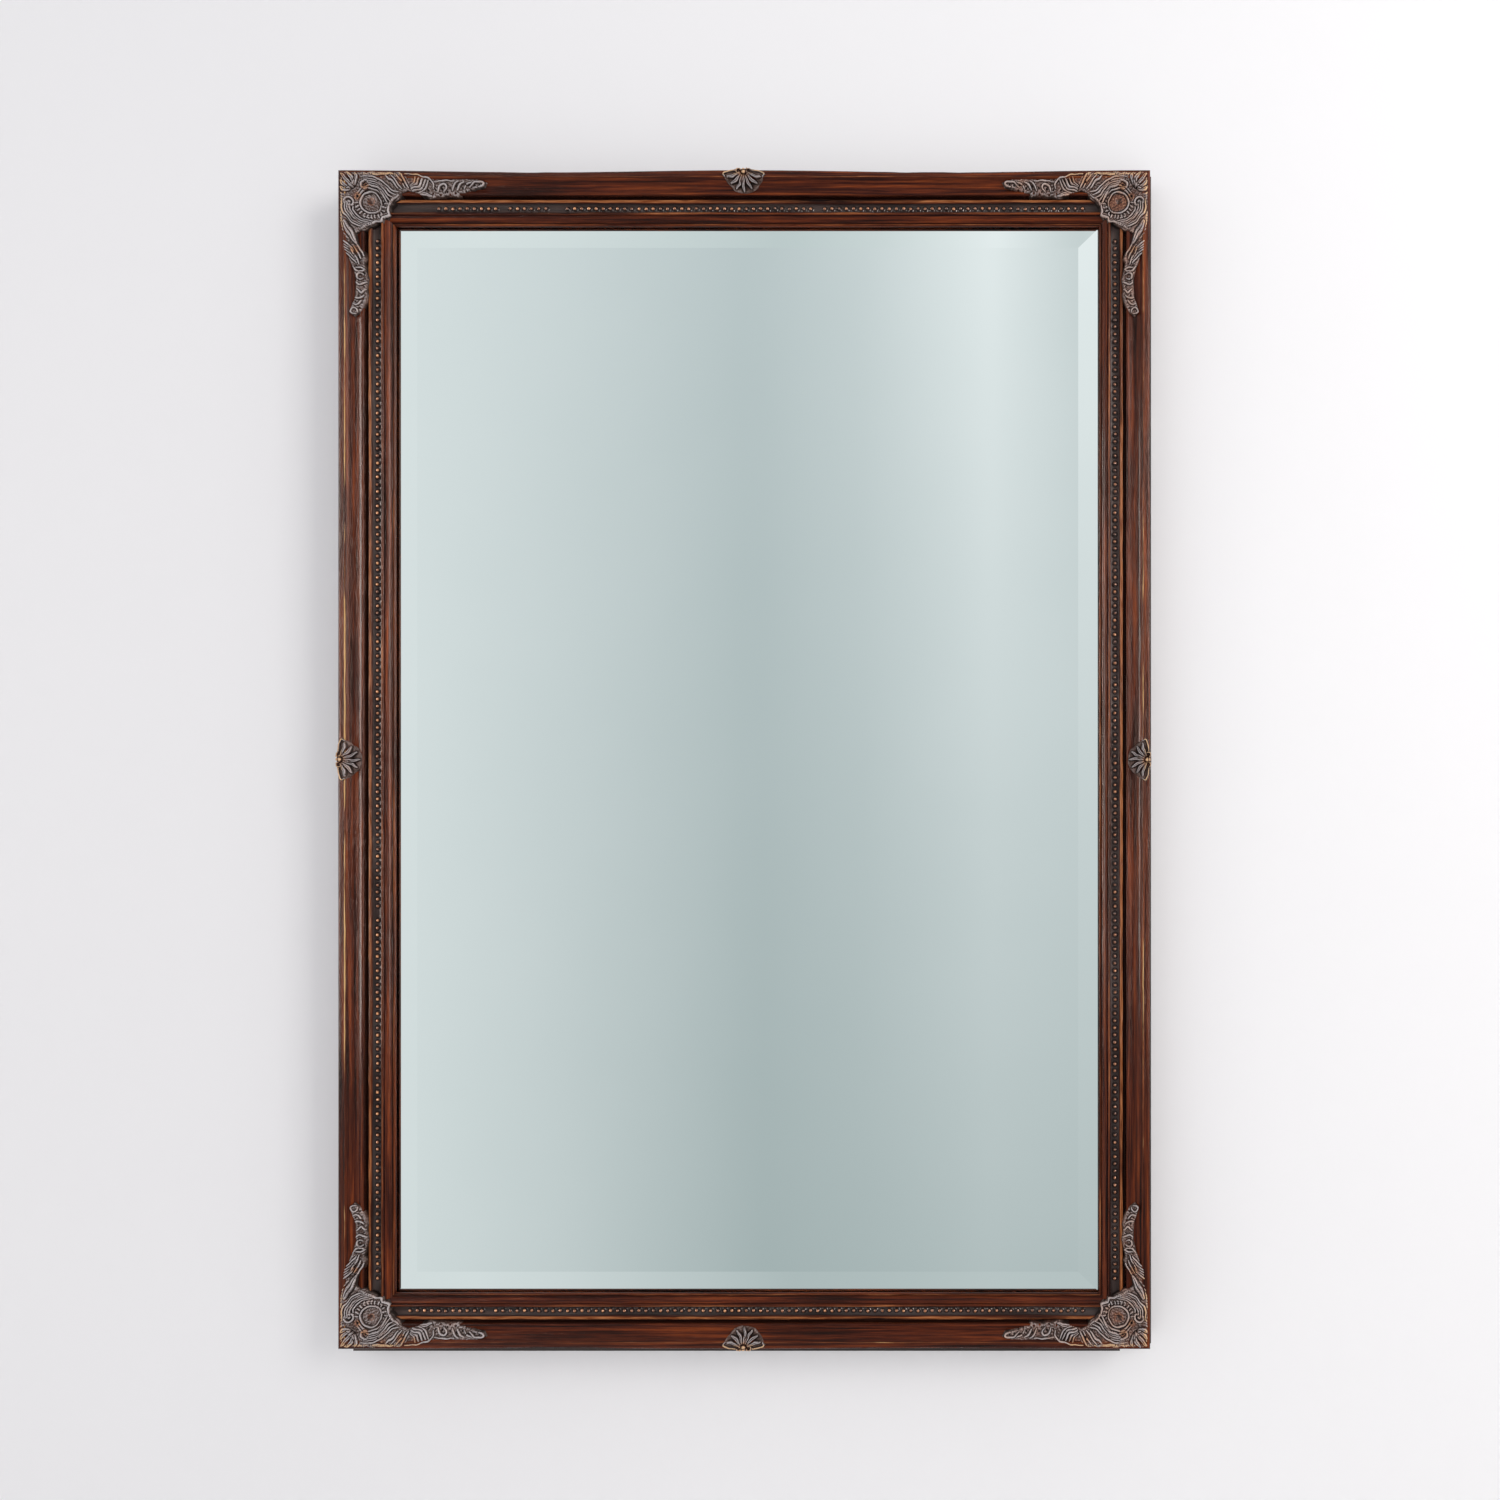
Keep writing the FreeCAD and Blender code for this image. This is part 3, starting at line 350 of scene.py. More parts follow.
def makeMoulding(side):
    points, length, number = section["points"], railLength(side), list(sideWays).index(side)
    bpy.ops.object.select_all(action="DESELECT")
    bpy.ops.mesh.primitive_circle_add(vertices=len(points), radius=1, fill_type="NGON")
    rail = bpy.context.object
    rail.name = rail.data.name = side + "_moulding"
    setCoords(rail, [(-length / 2 - section["overrun"], point[0], point[1]) for point in points])
    bpy.ops.object.mode_set(mode="EDIT")
    bpy.ops.mesh.select_all(action="SELECT")
    stride = (length + 2 * section["overrun"]) / section["stations"]
    for _ in range(section["stations"]):
        bpy.ops.mesh.extrude_region_move(TRANSFORM_OT_translate={"value": (stride, 0, 0)})
    for end in (1, -1):  # the mitres
        bpy.ops.mesh.select_all(action="SELECT")
        bpy.ops.mesh.bisect(
            plane_co=(length / 2 * end, 0, 0), plane_no=(end, 1, 0), use_fill=True, clear_outer=True
        )
    bpy.ops.object.mode_set(mode="OBJECT")
    coords, table = coordsOf(rail), np.array(points)
    nearest = np.argmin(np.linalg.norm(coords[:, None, 1:] - table[None, :, :2], axis=2), axis=1)
    steps = np.linalg.norm(np.diff(table[:, :2], axis=0), axis=1)
    travel = np.concatenate([[0], np.cumsum(steps)])[nearest]  # round the section
    along = coords[:, 0].copy()
    bow = np.sin(np.pi * np.clip(np.abs(along) * 2 / length, 0, 1)) ** 2
    lip = np.clip(1 - coords[:, 1] / section["lipWide"], 0, 1) ** section["dipCurve"]
    coords[:, 1] += section["dip"][side] * lip * bow
    # the third of these is painted shade for the quirks, grooves and hidden faces
    for column, name in enumerate(("rub", "gold", "painted_shade", "soot"), 2):
        setAttribute(rail, name, table[nearest, column] * (section["gilt"][side] if name == "gold" else 1))
    low, high = section["waverAcross"]
    free = np.clip((length / 2 - coords[:, 1] - np.abs(along)) / section["calm"], 0, 1)
    free *= (coords[:, 2] > section["waverAbove"]) * (coords[:, 1] > low)
    free *= coords[:, 1] < high
    waves = [
        wobble(along, travel * section["quicker"], size, number + seed)
        for size, seed in zip(section["waves"], section["seeds"])]
    coords[:, 1] += free * section["uneven"] * waves[0]
    coords[:, 2] -= free * section["uneven"] * (1 + waves[1]) / 2
    layer = rail.data.uv_layers.new(name="grain")
    for loop in rail.data.loops:
        spot = loop.vertex_index
        layer.data[loop.index].uv = (along[spot] * mm + section["grainShift"] * number, travel[spot] * mm)
    setCoords(rail, toSide(side, coords[:, 0], coords[:, 1], coords[:, 2]))
    rail.data.materials.append(mouldingWood)
    finishPiece(rail, side + "_rail", section["smooth"])


for side in sideWays:
    makeMoulding(side)
print("mouldings are in place")

beadCourse = {
    "pitch": 6.1, "start": 53, "middle": 28.4, "floor": 18.95, "smooth": 80,
    "radius": 1.5, "flattened": 0.95, "foot": 0.5, "lift": 0.9,  # each bead is a ball with its foot cut off
    "cup": 2.35, "cupRim": 0.35,  # the ring that it sits in
    "sizes": ((0.92, 1.04), (0.92, 1.04), (0.8, 1.02)), "astray": 0.2,
    "tipFrom": 0.6, "tipTall": 1.8, "tipReach": 1.7, "tipSpread": (0.7, 1.15),
    "fade": 0.27,  # the tips are browner towards the right
    # stretches along a rail where the beads were filled or lost
    "lost": {
        "top": ((265, 290), (205, 212), (158, 165), (-62, -58)),
        "left": ((130, 134),),
        "bottom": ((-222, -216),),
    },
}


def makeBeads(side):
    length = railLength(side) - 2 * beadCourse["start"]
    count = round(length / beadCourse["pitch"])
    bpy.ops.object.select_all(action="DESELECT")
    bpy.ops.mesh.primitive_uv_sphere_add(segments=10, ring_count=6, radius=beadCourse["radius"])
    bead = bpy.context.object
    bead.name = bead.data.name = side + "_beads"
    ball = coordsOf(bead)
    ball[:, 2] = np.maximum(ball[:, 2], -beadCourse["foot"]) * beadCourse["flattened"] + beadCourse["lift"]
    setCoords(bead, ball)
    bpy.ops.mesh.primitive_torus_add(
        major_radius=beadCourse["cup"], minor_radius=beadCourse["cupRim"], major_segments=10, minor_segments=4
    )
    rim = bpy.context.object
    onlySelect(bead)
    rim.select_set(True)
    bpy.ops.object.join()
    shape = coordsOf(bead)
    faces = [list(face.vertices) for face in bead.data.polygons]
    # tips: the top of each ball, rubbed copper with a painted highlight
    tips = np.clip((shape[:, 2] - beadCourse["tipFrom"]) / beadCourse["tipTall"], 0, 1)
    tips *= np.hypot(shape[:, 0], shape[:, 1]) < beadCourse["tipReach"]
    spots, allFaces, allTips = [], [], []
    for i in range(count):
        middle = (i + 0.5) * length / count - length / 2
        if any(low < middle < high for low, high in beadCourse["lost"].get(side, ())):
            continue
        grown = shape * [random.uniform(low, high) for low, high in beadCourse["sizes"]]
        astray = [random.uniform(-beadCourse["astray"], beadCourse["astray"]) for _ in range(2)]
        base = len(spots) * len(shape)
        spots.append(grown + (middle + astray[0], beadCourse["middle"] + astray[1], beadCourse["floor"]))
        allFaces += [[v + base for v in face] for face in faces]
        allTips.append(tips * random.uniform(*beadCourse["tipSpread"]))
    coords = np.concatenate(spots)
    world = toSide(side, coords[:, 0], coords[:, 1], coords[:, 2])
    bead.data.clear_geometry()
    bead.data.from_pydata([tuple(p) for p in world], [], allFaces)
    rightward = world[:, 0] / mm / carvedFrame["wide"] + 0.5
    setAttribute(bead, "tip", np.concatenate(allTips) * (1 - beadCourse["fade"] * rightward))
    bead.data.materials.append(beadPaint)
    finishPiece(bead, side + "_bead_course", beadCourse["smooth"])


for side in sideWays:
    makeBeads(side)
print("bead courses are in place")


# a smooth path through its points
def smoothPath(points, steps=6):
    points = np.array(points, float)
    if len(points) < 3:
        return points
    ends = np.vstack([2 * points[0] - points[1], points, 2 * points[-1] - points[-2]])
    path = []
    for i in range(1, len(ends) - 2):
        a, b, c, d = ends[i - 1:i + 3]
        for t in np.linspace(0, 1, steps, endpoint=False):
            bend = 2 * b + (c - a) * t + (2 * a - 5 * b + 4 * c - d) * t**2
            path.append(0.5 * (bend + (3 * b - a - 3 * c + d) * t**3))
    return np.vstack([path, points[-1]])


# a tool's mark, in shares of its half width and of its rise
chisel = {
    "taper": 0.55,  # how much thinner its ends are
    "round": 0.9, "foot": 0.1, "footWide": 0.35,  # a rounded back that runs out in a low foot
    "line": 0.5, "linePlace": 1.25, "lineWide": 0.3,  # the dark line cut beside a ridge
    "reach": 2.6,
}


# how far each place lies from a path of (u, v), as a share of the path's half width there
def nearness(u, v, path, half):
    best = np.full(u.shape, 1e3)
    count = len(path) - 1
    for i in range(max(count, 1)):
        a, b = path[i], path[min(i + 1, count)]
        dx, dy = b[0] - a[0], b[1] - a[1]
        t = np.clip(((u - a[0]) * dx + (v - a[1]) * dy) / max(dx * dx + dy * dy, 1e-9), 0, 1)
        fromMiddle = abs(2 * (i + 0.5) / max(count, 1) - 1)
        taper = 1 - chisel["taper"] * fromMiddle ** 2 if count > 0 else 1
        best = np.minimum(best, np.hypot(u - a[0] - t * dx, v - a[1] - t * dy) / (half * taper))
    return best


# one mark of the carver's tool along a path: a rounded ridge, or a groove when its rise is negative
def carveMark(height, u, v, points, half, rise):
    path = smoothPath(points)
    reach = half * chisel["reach"] + 1
    near = (u > path[:, 0].min() - reach) & (u < path[:, 0].max() + reach)
    near &= (v > path[:, 1].min() - reach) & (v < path[:, 1].max() + reach)
    share = nearness(u[near], v[near], path, half)
    foot = chisel["foot"] * np.exp(-(((share - 1) / chisel["footWide"]) ** 2))
    crown = np.where(share < 1, 1 - share**2 * chisel["round"], foot)
    if rise > 0:
        line = np.exp(-(((share - chisel["linePlace"]) / chisel["lineWide"]) ** 2))
        crown = crown - chisel["line"] * line
    height[near] += rise * crown


# a carved ground: its outline, its level and how it rounds down at its edge
def raiseGround(height, u, v, outline, level, rounding, slope=7):
    apart, inside = np.full(u.shape, 1e3), np.zeros(u.shape, bool)
    for (ax, ay), (bx, by) in zip(outline, outline[1:] + outline[:1]):
        dx, dy = bx - ax, by - ay
        t = np.clip(((u - ax) * dx + (v - ay) * dy) / (dx * dx + dy * dy), 0, 1)
        apart = np.minimum(apart, np.hypot(u - ax - t * dx, v - ay - t * dy))
        crosses = (ay > v) != (by > v)
        inside ^= crosses & (u < ax + (v - ay) * dx / (dy if dy else 1e-9))
    drop = rounding * (1 - np.clip(apart / (rounding * 1.6), 0, 1)) ** 2
    ground = np.where(inside, level - drop, level - rounding - apart * slope)
    np.maximum(height, ground, out=height)


# how unlike its neighbours a strand may be
strandSpread = {"astray": 0.35, "half": (0.85, 1.15), "rise": (0.75, 1.2)}


# nested strands between a first and a last path
def strands(first, last, count, half, rise):
    rows, astray = [], strandSpread["astray"]
    for i in range(count):
        share = i / max(count - 1, 1)
        row = [(a[0] + (b[0] - a[0]) * share, a[1] + (b[1] - a[1]) * share) for a, b in zip(first, last)]
        row = [(x + random.uniform(-astray, astray), y + random.uniform(-astray, astray)) for x, y in row]
        thisHalf = half * random.uniform(*strandSpread["half"])
        rows.append((row, thisHalf, rise * random.uniform(*strandSpread["rise"])))
    return rows


# a lobe with a vein cut down its middle
def leaf(points, half, rise, veinWide=0.24, veinDeep=0.6):
    return [(points, half, rise), (points, half * veinWide, -veinDeep * rise)]


# points on an arc, its start and stop in degrees
def around(centre, radius, start, stop, count=13):
    angles = np.radians(np.linspace(start, stop, count))
    return [(centre[0] + radius * math.cos(a), centre[1] + radius * math.sin(a)) for a in angles]


# the corner carving at the top left: U runs right along the top rail, V down the left one
corner = {
    "step": 0.32, "reach": 126, "root": 16.2, "highest": 33.2, "smooth": 180,
    # levels: at the lip, and how far it sinks for each millimetre inwards, as the moulding does
    "levels": (28.7, 0.15), "armLevels": (28.2, 0.17), "beside": (27.1, 0.16), "sinks": 40,
    "rounding": 1.5, "armRounding": 1.3,
    "waver": (0.45, 11), "dents": ((0.2, 2.6), (0.12, 1.3)),  # each how much and how long
    "boss": (25.8, 25.8), "dish": (0.7, 9), "drill": (1.7, 0.75),  # dish and drill: deep and wide
    # how far the stain is rubbed through on each boss, and how much more of it on the right
    "bossRub": {"top_left": 2.8, "top_right": 6.4, "bottom_left": 2.6, "bottom_right": 3.8},
    "bossWorn": 1.3, "bossLift": 0.8, "rightWorn": 0.16,
    "core": [
        (0.8, 0.8), (30, 0.6), (52, 1), (58, 4.4), (60.6, 9), (59, 15.6), (52.4, 17.4), (49.4, 22),
        (44.6, 24.4), (41, 28.6), (40.2, 32.6), (41, 35.4), (38.6, 38.2), (35.6, 38.6), (34.4, 41.6),
        (31, 41.8), (27.4, 43.4), (24.2, 46), (20.4, 48.8), (16.6, 49.6), (13.6, 52), (14.6, 57),
        (12.4, 61), (5, 57), (2, 50), (0.9, 44), (0.8, 20)],
    "flat": [
        (55, 1.6), (66, 2.2), (74.5, 3.8), (80, 6), (91, 6.4), (104, 5.8), (114, 6.4), (121, 7),
        (124.4, 9.6), (122, 12.6), (116, 14.6), (109, 16.4), (103.6, 18.4), (99, 20.6), (93.6, 19.4),
        (88, 20.2), (82.6, 21.2), (75.6, 22), (70, 20), (64.6, 17), (56, 15.6)],
    "upright": [
        (2.4, 52), (3, 62), (4.4, 67), (6.8, 72.6), (8.8, 77), (10.6, 81), (12, 86.6), (12.6, 92.2),
        (13.2, 98), (12.4, 103.6), (10.6, 109), (8.6, 114.6), (8.2, 119), (11.6, 122.4), (15.8, 119.4),
        (18.6, 114.8), (21.2, 109.2), (22.8, 103.2), (21.8, 97.6), (22.8, 89.4), (21.2, 82.2),
        (20.2, 76), (21.6, 72.4), (19, 66), (15.6, 60), (12, 54)],
    "drilled": [
        (74.4, 15.6), (78, 18), (80.6, 15), (84.6, 19), (90.6, 16.6), (92.8, 18.6), (93, 13.6),
        (97.4, 17.4), (101.4, 18.6), (99, 12.4), (103.6, 13.6), (106.4, 16.2), (107.2, 11.6),
        (110.4, 15.4), (109.6, 11), (114, 11.6), (116.6, 13.2), (86, 14.6), (118, 10.4), (70.6, 13.4),
        (17, 74), (13.6, 79), (19.6, 85), (15.4, 91), (19.6, 96.8), (15, 104), (19, 107), (12.8, 109),
        (16, 115)],
    "rubbed": [
        (53, 8, 3), (22, 12.6, 2.4), (37, 4.4, 2.4), (14.8, 20.6, 2.4), (64, 6, 3), (13, 66, 2.6), (3, 3, 3)],
}
boss = corner["boss"]
marks = [
    ([boss], 7.2, 1.1), ([(boss[0] - 0.4, boss[1] - 1.4)], 3.2, -1.5),
    (around(boss, 8.6, 0, 360, 25), 0.95, 1.7),
    (around(boss, 11.4, 196, 338), 0.85, 1.2), (around(boss, 13.6, 214, 318), 0.85, 1.1)]
for inner, outer in zip(around(boss, 10.4, 2, 178, 13), around(boss, 13, 4, 176, 13)):
    marks.append(([inner, outer], 0.7, 1.0))
# lobes that fan into the corner
for tip, bend in (((2.2, 2.4), 0), ((8, 2), 1.4), ((2.2, 8.6), -1.4), ((14, 2.6), 2), ((2.6, 14.6), -2)):
    middle = ((tip[0] + 11.4) / 2 + bend, (tip[1] + 13.4) / 2 - bend)
    marks += leaf([(11.4, 13.4), middle, tip], 1.7, 1.5)
# two scrolls, and the long strands that run from them round the boss
marks += [
    (around((8.4, 26), 3.7, -200, 90), 1.0, 1.5), ([(8.4, 26)], 1.5, 1.1),
    (around((22, 11.4), 3.5, -20, -300), 1.0, 1.5), ([(22, 11.4)], 1.5, -1.7)]
marks += strands(
    [(3.4, 24), (3, 32), (8, 40), (14.6, 45.4), (21.6, 46.4)],
    [(11.6, 29.6), (12.4, 33.4), (15.8, 38), (20.4, 40.6), (27, 41.2)], 5, 1.0, 1.6)
marks += strands(
    [(19, 5), (29, 5.4), (37.4, 9.6), (43.4, 15.4), (50, 17.4)],
    [(26, 11.6), (31.4, 13.4), (35.4, 17.6), (37.6, 22), (40, 27)], 5, 1.0, 1.6)
marks += strands([(40, 4), (44.6, 8.6), (49.6, 14.6)], [(53, 3), (55.6, 8), (58.4, 14)], 4, 0.95, 1.5)
marks += leaf([(29, 3.4), (37, 2.6), (46, 2.6)], 1.4, 1.1)
marks += leaf([(4.6, 42.6), (8.4, 50), (13.4, 59.6)], 2.5, 1.6)
# pebbles, the rolled inner rim, then a few cuts and hollows
pebbles = (20.6, 37.6), (23.4, 38.6), (26.4, 38.8), (31, 33.4), (33.6, 35.4), (36.2, 32.4), (36, 28.6)
marks += [([pebble], 1.1, 1.1) for pebble in pebbles]
marks += [
    ([(49.4, 19.6), (44.4, 23), (40.6, 27.4), (39, 32), (40, 35), (36.6, 37.2), (34.4, 37.6),
      (33, 40.6), (28, 41.6), (23.4, 44.8), (18, 47.8)], 0.9, 1.3),
    ([(37, 24.4), (34.8, 27.6)], 1.0, -1.2), ([(14.8, 20.6)], 1.5, -1.8), ([(53.4, 9.6)], 1.3, -1.8),
    ([(33, 8.6)], 0.9, -1.4), ([(8.6, 36)], 0.9, -1.2)]
# the fan and the leaf along the top rail, then the small curls towards its tip
marks += strands([(59.6, 12), (62.6, 10), (64.6, 5.4)], [(62, 17.4), (71.4, 15.8), (76, 8)], 5, 0.95, 1.6)
marks += [
    ([(56, 2.6), (66, 3.4), (75, 6), (79, 10), (78.6, 14)], 0.9, 1.3),
    ([(83, 17), (84.6, 12.6), (88.4, 10.4), (90.4, 13), (87.4, 17)], 0.95, 1.4)]
marks += leaf([(64, 18), (70, 18.4), (77, 19.6)], 1.5, 1.2)
marks += [
    ([(79, 9), (88, 8), (97, 8.2)], 0.8, 0.9), ([(95, 16), (97, 11), (100.6, 8.4)], 0.9, 1.3),
    ([(99.6, 15.4), (102, 11), (105.6, 9)], 0.9, 1.3),
    ([(105, 14.4), (108, 10.6), (112, 9)], 0.85, 1.2),
    ([(110, 13.4), (114, 9.4), (119.6, 8.6), (121.8, 10.6), (118, 12.6), (113.6, 13.6)], 0.9, 1.3)]
# the same down the left rail
marks += strands([(3.6, 59), (8, 61.6), (11.6, 67)], [(5, 68.6), (9.4, 71.6), (14, 77)], 5, 0.9, 1.5)
marks += strands([(13, 60), (17, 65), (19.4, 71)], [(10, 66), (13.6, 72), (16, 78)], 3, 0.9, 1.4)
marks += [
    ([(11, 80), (14.6, 84), (20.4, 82.4)], 0.95, 1.4), (around((17, 88), 3, 40, 330), 0.9, 1.4),
    ([(13, 82), (17, 80.4), (20.4, 82.4)], 0.8, 1.2),
    ([(13.6, 93), (17, 95), (21.4, 92.6)], 0.9, 1.3),
    ([(14.6, 99), (17.4, 101.4), (21.4, 99)], 0.9, 1.3),
    ([(12.6, 106), (16, 107), (20, 104)], 0.9, 1.3),
    ([(11, 111.6), (14.6, 112), (18, 109)], 0.8, 1.2),
    (around((12, 117.6), 2.8, 60, 380), 0.85, 1.3)]


def cornerHeight(u, v):
    waver, length = corner["waver"]
    u, v = u + waver * wobble(u, v, length, 3), v + waver * wobble(u, v, length, 4)
    height = np.zeros(u.shape)
    inward = np.clip(np.minimum(u, v), 0, corner["sinks"])
    level = corner["levels"][0] - corner["levels"][1] * inward
    raiseGround(height, u, v, corner["core"], level, corner["rounding"])
    for arm in ("flat", "upright"):
        level = corner["armLevels"][0] - corner["armLevels"][1] * inward
        raiseGround(height, u, v, corner[arm], level, corner["armRounding"])
    deep, wide = corner["dish"]
    dish = np.exp(-((np.hypot(u - boss[0], v - boss[1]) / wide) ** 2))
    height -= deep * dish * (height > corner["root"])
    for points, half, rise in marks:
        carveMark(height, u, v, points, half, rise)
    deep, wide = corner["drill"]
    for spot in corner["drilled"]:
        height -= deep * np.exp(-((np.hypot(u - spot[0], v - spot[1]) / wide) ** 2))
    for (much, length), seed in zip(corner["dents"], (5, 6)):
        height = height + much * wobble(u, v, length, seed)
    return np.minimum(height, corner["highest"])


def besideCorner(u, v):
    level, sink = corner["beside"]
    return level - sink * np.clip(np.minimum(u, v), 0, corner["sinks"])


# the mean of a grid's values within a reach of each
def blurred(grid, reach):
    for axis in (0, 1):
        margins = [(reach + 1, reach) if axis == a else (0, 0) for a in (0, 1)]
        padded = np.pad(grid, margins, "edge").cumsum(axis)
        size = grid.shape[axis]
        above = np.take(padded, range(2 * reach + 1, 2 * reach + 1 + size), axis)
        grid = (above - np.take(padded, range(size), axis)) / (2 * reach + 1)
    return grid


# how a carving's shape becomes its colours, raised places lightened as painted highlight and hollows and
# steep sides darkened as painted shade, in millimetres or as shares
wearAndShade = {
    # raised and hollow places, lighter and darker as painted highlight and painted shade: how far round each
    # the heights are compared, the difference that counts in full, its weight
    "near": (1.0, 0.5, 0.52), "far": (2.8, 1.6, 0.2),
    "middle": 0.45,
    "wall": (19.2, 2.4, 0.1),  # painted shade, steep sides stay dark: where they end, over how much, how dark
    "gilt": (7.5, 4.5),  # gilt is left within this of the outline's edge, and fades over this
    "stain": 0.42, "rubbedStain": 1.2,
    "lip": 0.15, "lipBed": 24.6,  # outside the lip a carving ends above its side
}


# a carving as a fine grid that is lifted by its height and trimmed where it leaves its bed
def carvedRelief(name, low, high, heightOf, step, root, rubbed, beside):
    counts = [round((h - l) / step) for l, h in zip(low, high)]
    bpy.ops.object.select_all(action="DESELECT")
    bpy.ops.mesh.primitive_grid_add(x_subdivisions=counts[0], y_subdivisions=counts[1], size=2)
    relief = bpy.context.object
    relief.name = relief.data.name = name
    coords = coordsOf(relief)
    column = np.rint((coords[:, 0] + 1) / 2 * counts[0]).astype(int)
    row = np.rint((coords[:, 1] + 1) / 2 * counts[1]).astype(int)
    u = low[0] + (high[0] - low[0]) * column / counts[0]
    v = low[1] + (high[1] - low[1]) * row / counts[1]
    height = heightOf(u, v)
    grid = np.zeros((counts[0] + 1, counts[1] + 1))
    grid[column, row] = height
    spans = [np.linspace(l, h, count + 1) for l, h, count in zip(low, high, counts)]
    ground = np.maximum(grid, beside(*np.meshgrid(*spans, indexing="ij")))
    # raised places lighter as painted highlight, hollows darker as painted shade
    glaze_and_painted_light = wearAndShade["middle"]
    for reach, full, weight in (wearAndShade["near"], wearAndShade["far"]):
        glaze_and_painted_light = glaze_and_painted_light + weight * ((ground - blurred(ground, round(reach / step))) / full)
    # steep sides darkened as painted shade
    foot, tall, dark = wearAndShade["wall"]
    wall = np.clip((grid - foot) / tall, dark, 1)
    setAttribute(relief, "glaze_and_painted_light", (np.clip(glaze_and_painted_light, 0, 1) * wall)[column, row])
    lipward = np.minimum(u, v) if low[0] > 0 else v  # a shell lies along one lip, a corner along two
    gilt, fade = wearAndShade["gilt"]
    setAttribute(relief, "edge", np.clip((gilt - lipward) / fade, 0, 1))
    warm = np.full(len(u), wearAndShade["stain"])
    for x, y, size in rubbed:
        warm += wearAndShade["rubbedStain"] * np.exp(-((np.hypot(u - x, v - y) / size) ** 2))
    setAttribute(relief, "warm", warm)
    bed = np.where(lipward < wearAndShade["lip"], wearAndShade["lipBed"], root)
    setCoords(relief, np.stack([u, v, np.maximum(height, bed)], axis=-1))
    bpy.ops.object.mode_set(mode="EDIT")
    bpy.ops.mesh.select_mode(type="VERT")
    bpy.ops.mesh.select_all(action="DESELECT")
    bpy.ops.object.mode_set(mode="OBJECT")
    relief.data.vertices.foreach_set("select", height < bed)
    bpy.ops.object.mode_set(mode="EDIT")
    bpy.ops.mesh.delete(type="VERT")
    bpy.ops.mesh.select_non_manifold()
    bpy.ops.mesh.edge_face_add()  # closes the bed
    bpy.ops.object.mode_set(mode="OBJECT")
    relief.data.materials.append(carvingLime)
    return relief


def copyOf(piece, name):
    onlySelect(piece)
    bpy.ops.object.duplicate()
    made = bpy.context.object
    made.name = made.data.name = name
    return made


firstCorner = carvedRelief(
    "carved_corner", (0.3, 0.3), (corner["reach"], corner["reach"]), cornerHeight, corner["step"],
    corner["root"], corner["rubbed"], besideCorner)
cornerPieces = {"top_left": firstCorner}
for name in ("top_right", "bottom_left", "bottom_right"):
    cornerPieces[name] = copyOf(firstCorner, "carved_corner")
for name, piece in cornerPieces.items():
    piece.name = piece.data.name = name + "_carving"
    shape = coordsOf(piece)
    x = (shape[:, 0] - carvedFrame["wide"] / 2) * (-1 if "right" in name else 1)
    z = (carvedFrame["tall"] / 2 - shape[:, 1]) * (-1 if "bottom" in name else 1)
    rubbed = np.zeros(len(shape))
    piece.data.attributes["warm"].data.foreach_get("value", rubbed)
    rubbed += corner["rightWorn"] if "right" in name else 0
    fromBoss = np.hypot(shape[:, 0] - boss[0], shape[:, 1] - boss[1] + corner["bossLift"])
    rubbed += corner["bossWorn"] * np.exp(-((fromBoss / corner["bossRub"][name]) ** 4))
    piece.data.attributes["warm"].data.foreach_set("value", rubbed)
    setCoords(piece, np.stack([x, -carvedFrame["back"] - shape[:, 2], z], axis=-1) * mm)
    finishPiece(piece, name + "_corner_ornament", corner["smooth"])
print("corner carvings are in place")

# the shell half way along a rail: outlined petals fanned from the lip between two volutes
shell = {
    "step": 0.3, "root": 16.2, "highest": 31.8, "smooth": 180,
    "low": (-19.5, -2.4), "high": (19.5, 24),
    "level": 25.5, "lipRise": 3.3, "lipFoot": 7.2, "lipSlope": 1.1,  # the ground dips behind the lip
    "rounding": 1.2, "besideRise": 0.3,
    "waver": (0.25, 7), "dents": (0.1, 2.4), "rubbed": [(0, 1, 4)],
    # each lobe's heading in degrees and how far it reaches from its root
    "lobes": ((90, 16), (63, 15.4), (117, 15.4), (38, 15), (142, 15), (17, 15.4), (163, 15.4)),
    "lobeRoot": (0, 1.4), "lobeFrom": 3, "lobeBend": (0.6, 0.8), "lobeTip": 1.2,
    "lobeHalf": 1.35, "lobeRise": 2.1,
    "ground": [
        (-16.6, 0.4), (-9, -1), (-5, -1.8), (5, -1.8), (9, -1), (16.6, 0.4), (19, 3.4), (16, 7),
        (12.4, 11), (8.4, 15.4), (3.6, 17.8), (-3.6, 17.8), (-8.4, 15.4), (-12.4, 11), (-16, 7),
        (-19, 3.4)],
}
shellMarks = []
for heading, reach in shell["lobes"]:
    way = np.array([math.cos(math.radians(heading)), math.sin(math.radians(heading))])
    across = np.array([-way[1], way[0]]) * (1 if heading < 90 else -1)
    along, aside = shell["lobeBend"]
    path = [
        shell["lobeRoot"] + way * shell["lobeFrom"],
        shell["lobeRoot"] + way * reach * along + across * aside,
        shell["lobeRoot"] + way * (reach - shell["lobeTip"])]
    shellMarks += leaf(path, shell["lobeHalf"], shell["lobeRise"])
for hand in (-1, 1):  # volutes and the scrolls that run out from them
    shellMarks.append((around((hand * 4.4, 0.6), 1.9, 200, 420), 0.75, 1.9))
    shellMarks.append(([(hand * 7, 0.4), (hand * 12, 0.8), (hand * 17, 3), (hand * 16, 5.4)], 0.75, 1.7))
shellMarks += [([(0, 1.2)], 2.2, 2.4), ([(-2.6, -0.6), (2.6, -0.6)], 0.9, 1.6)]


def shellGround(u, v):
    lip = shell["lipRise"] / (1 + np.exp((v - shell["lipFoot"]) / shell["lipSlope"]))
    return shell["level"] + lip + 0 * u


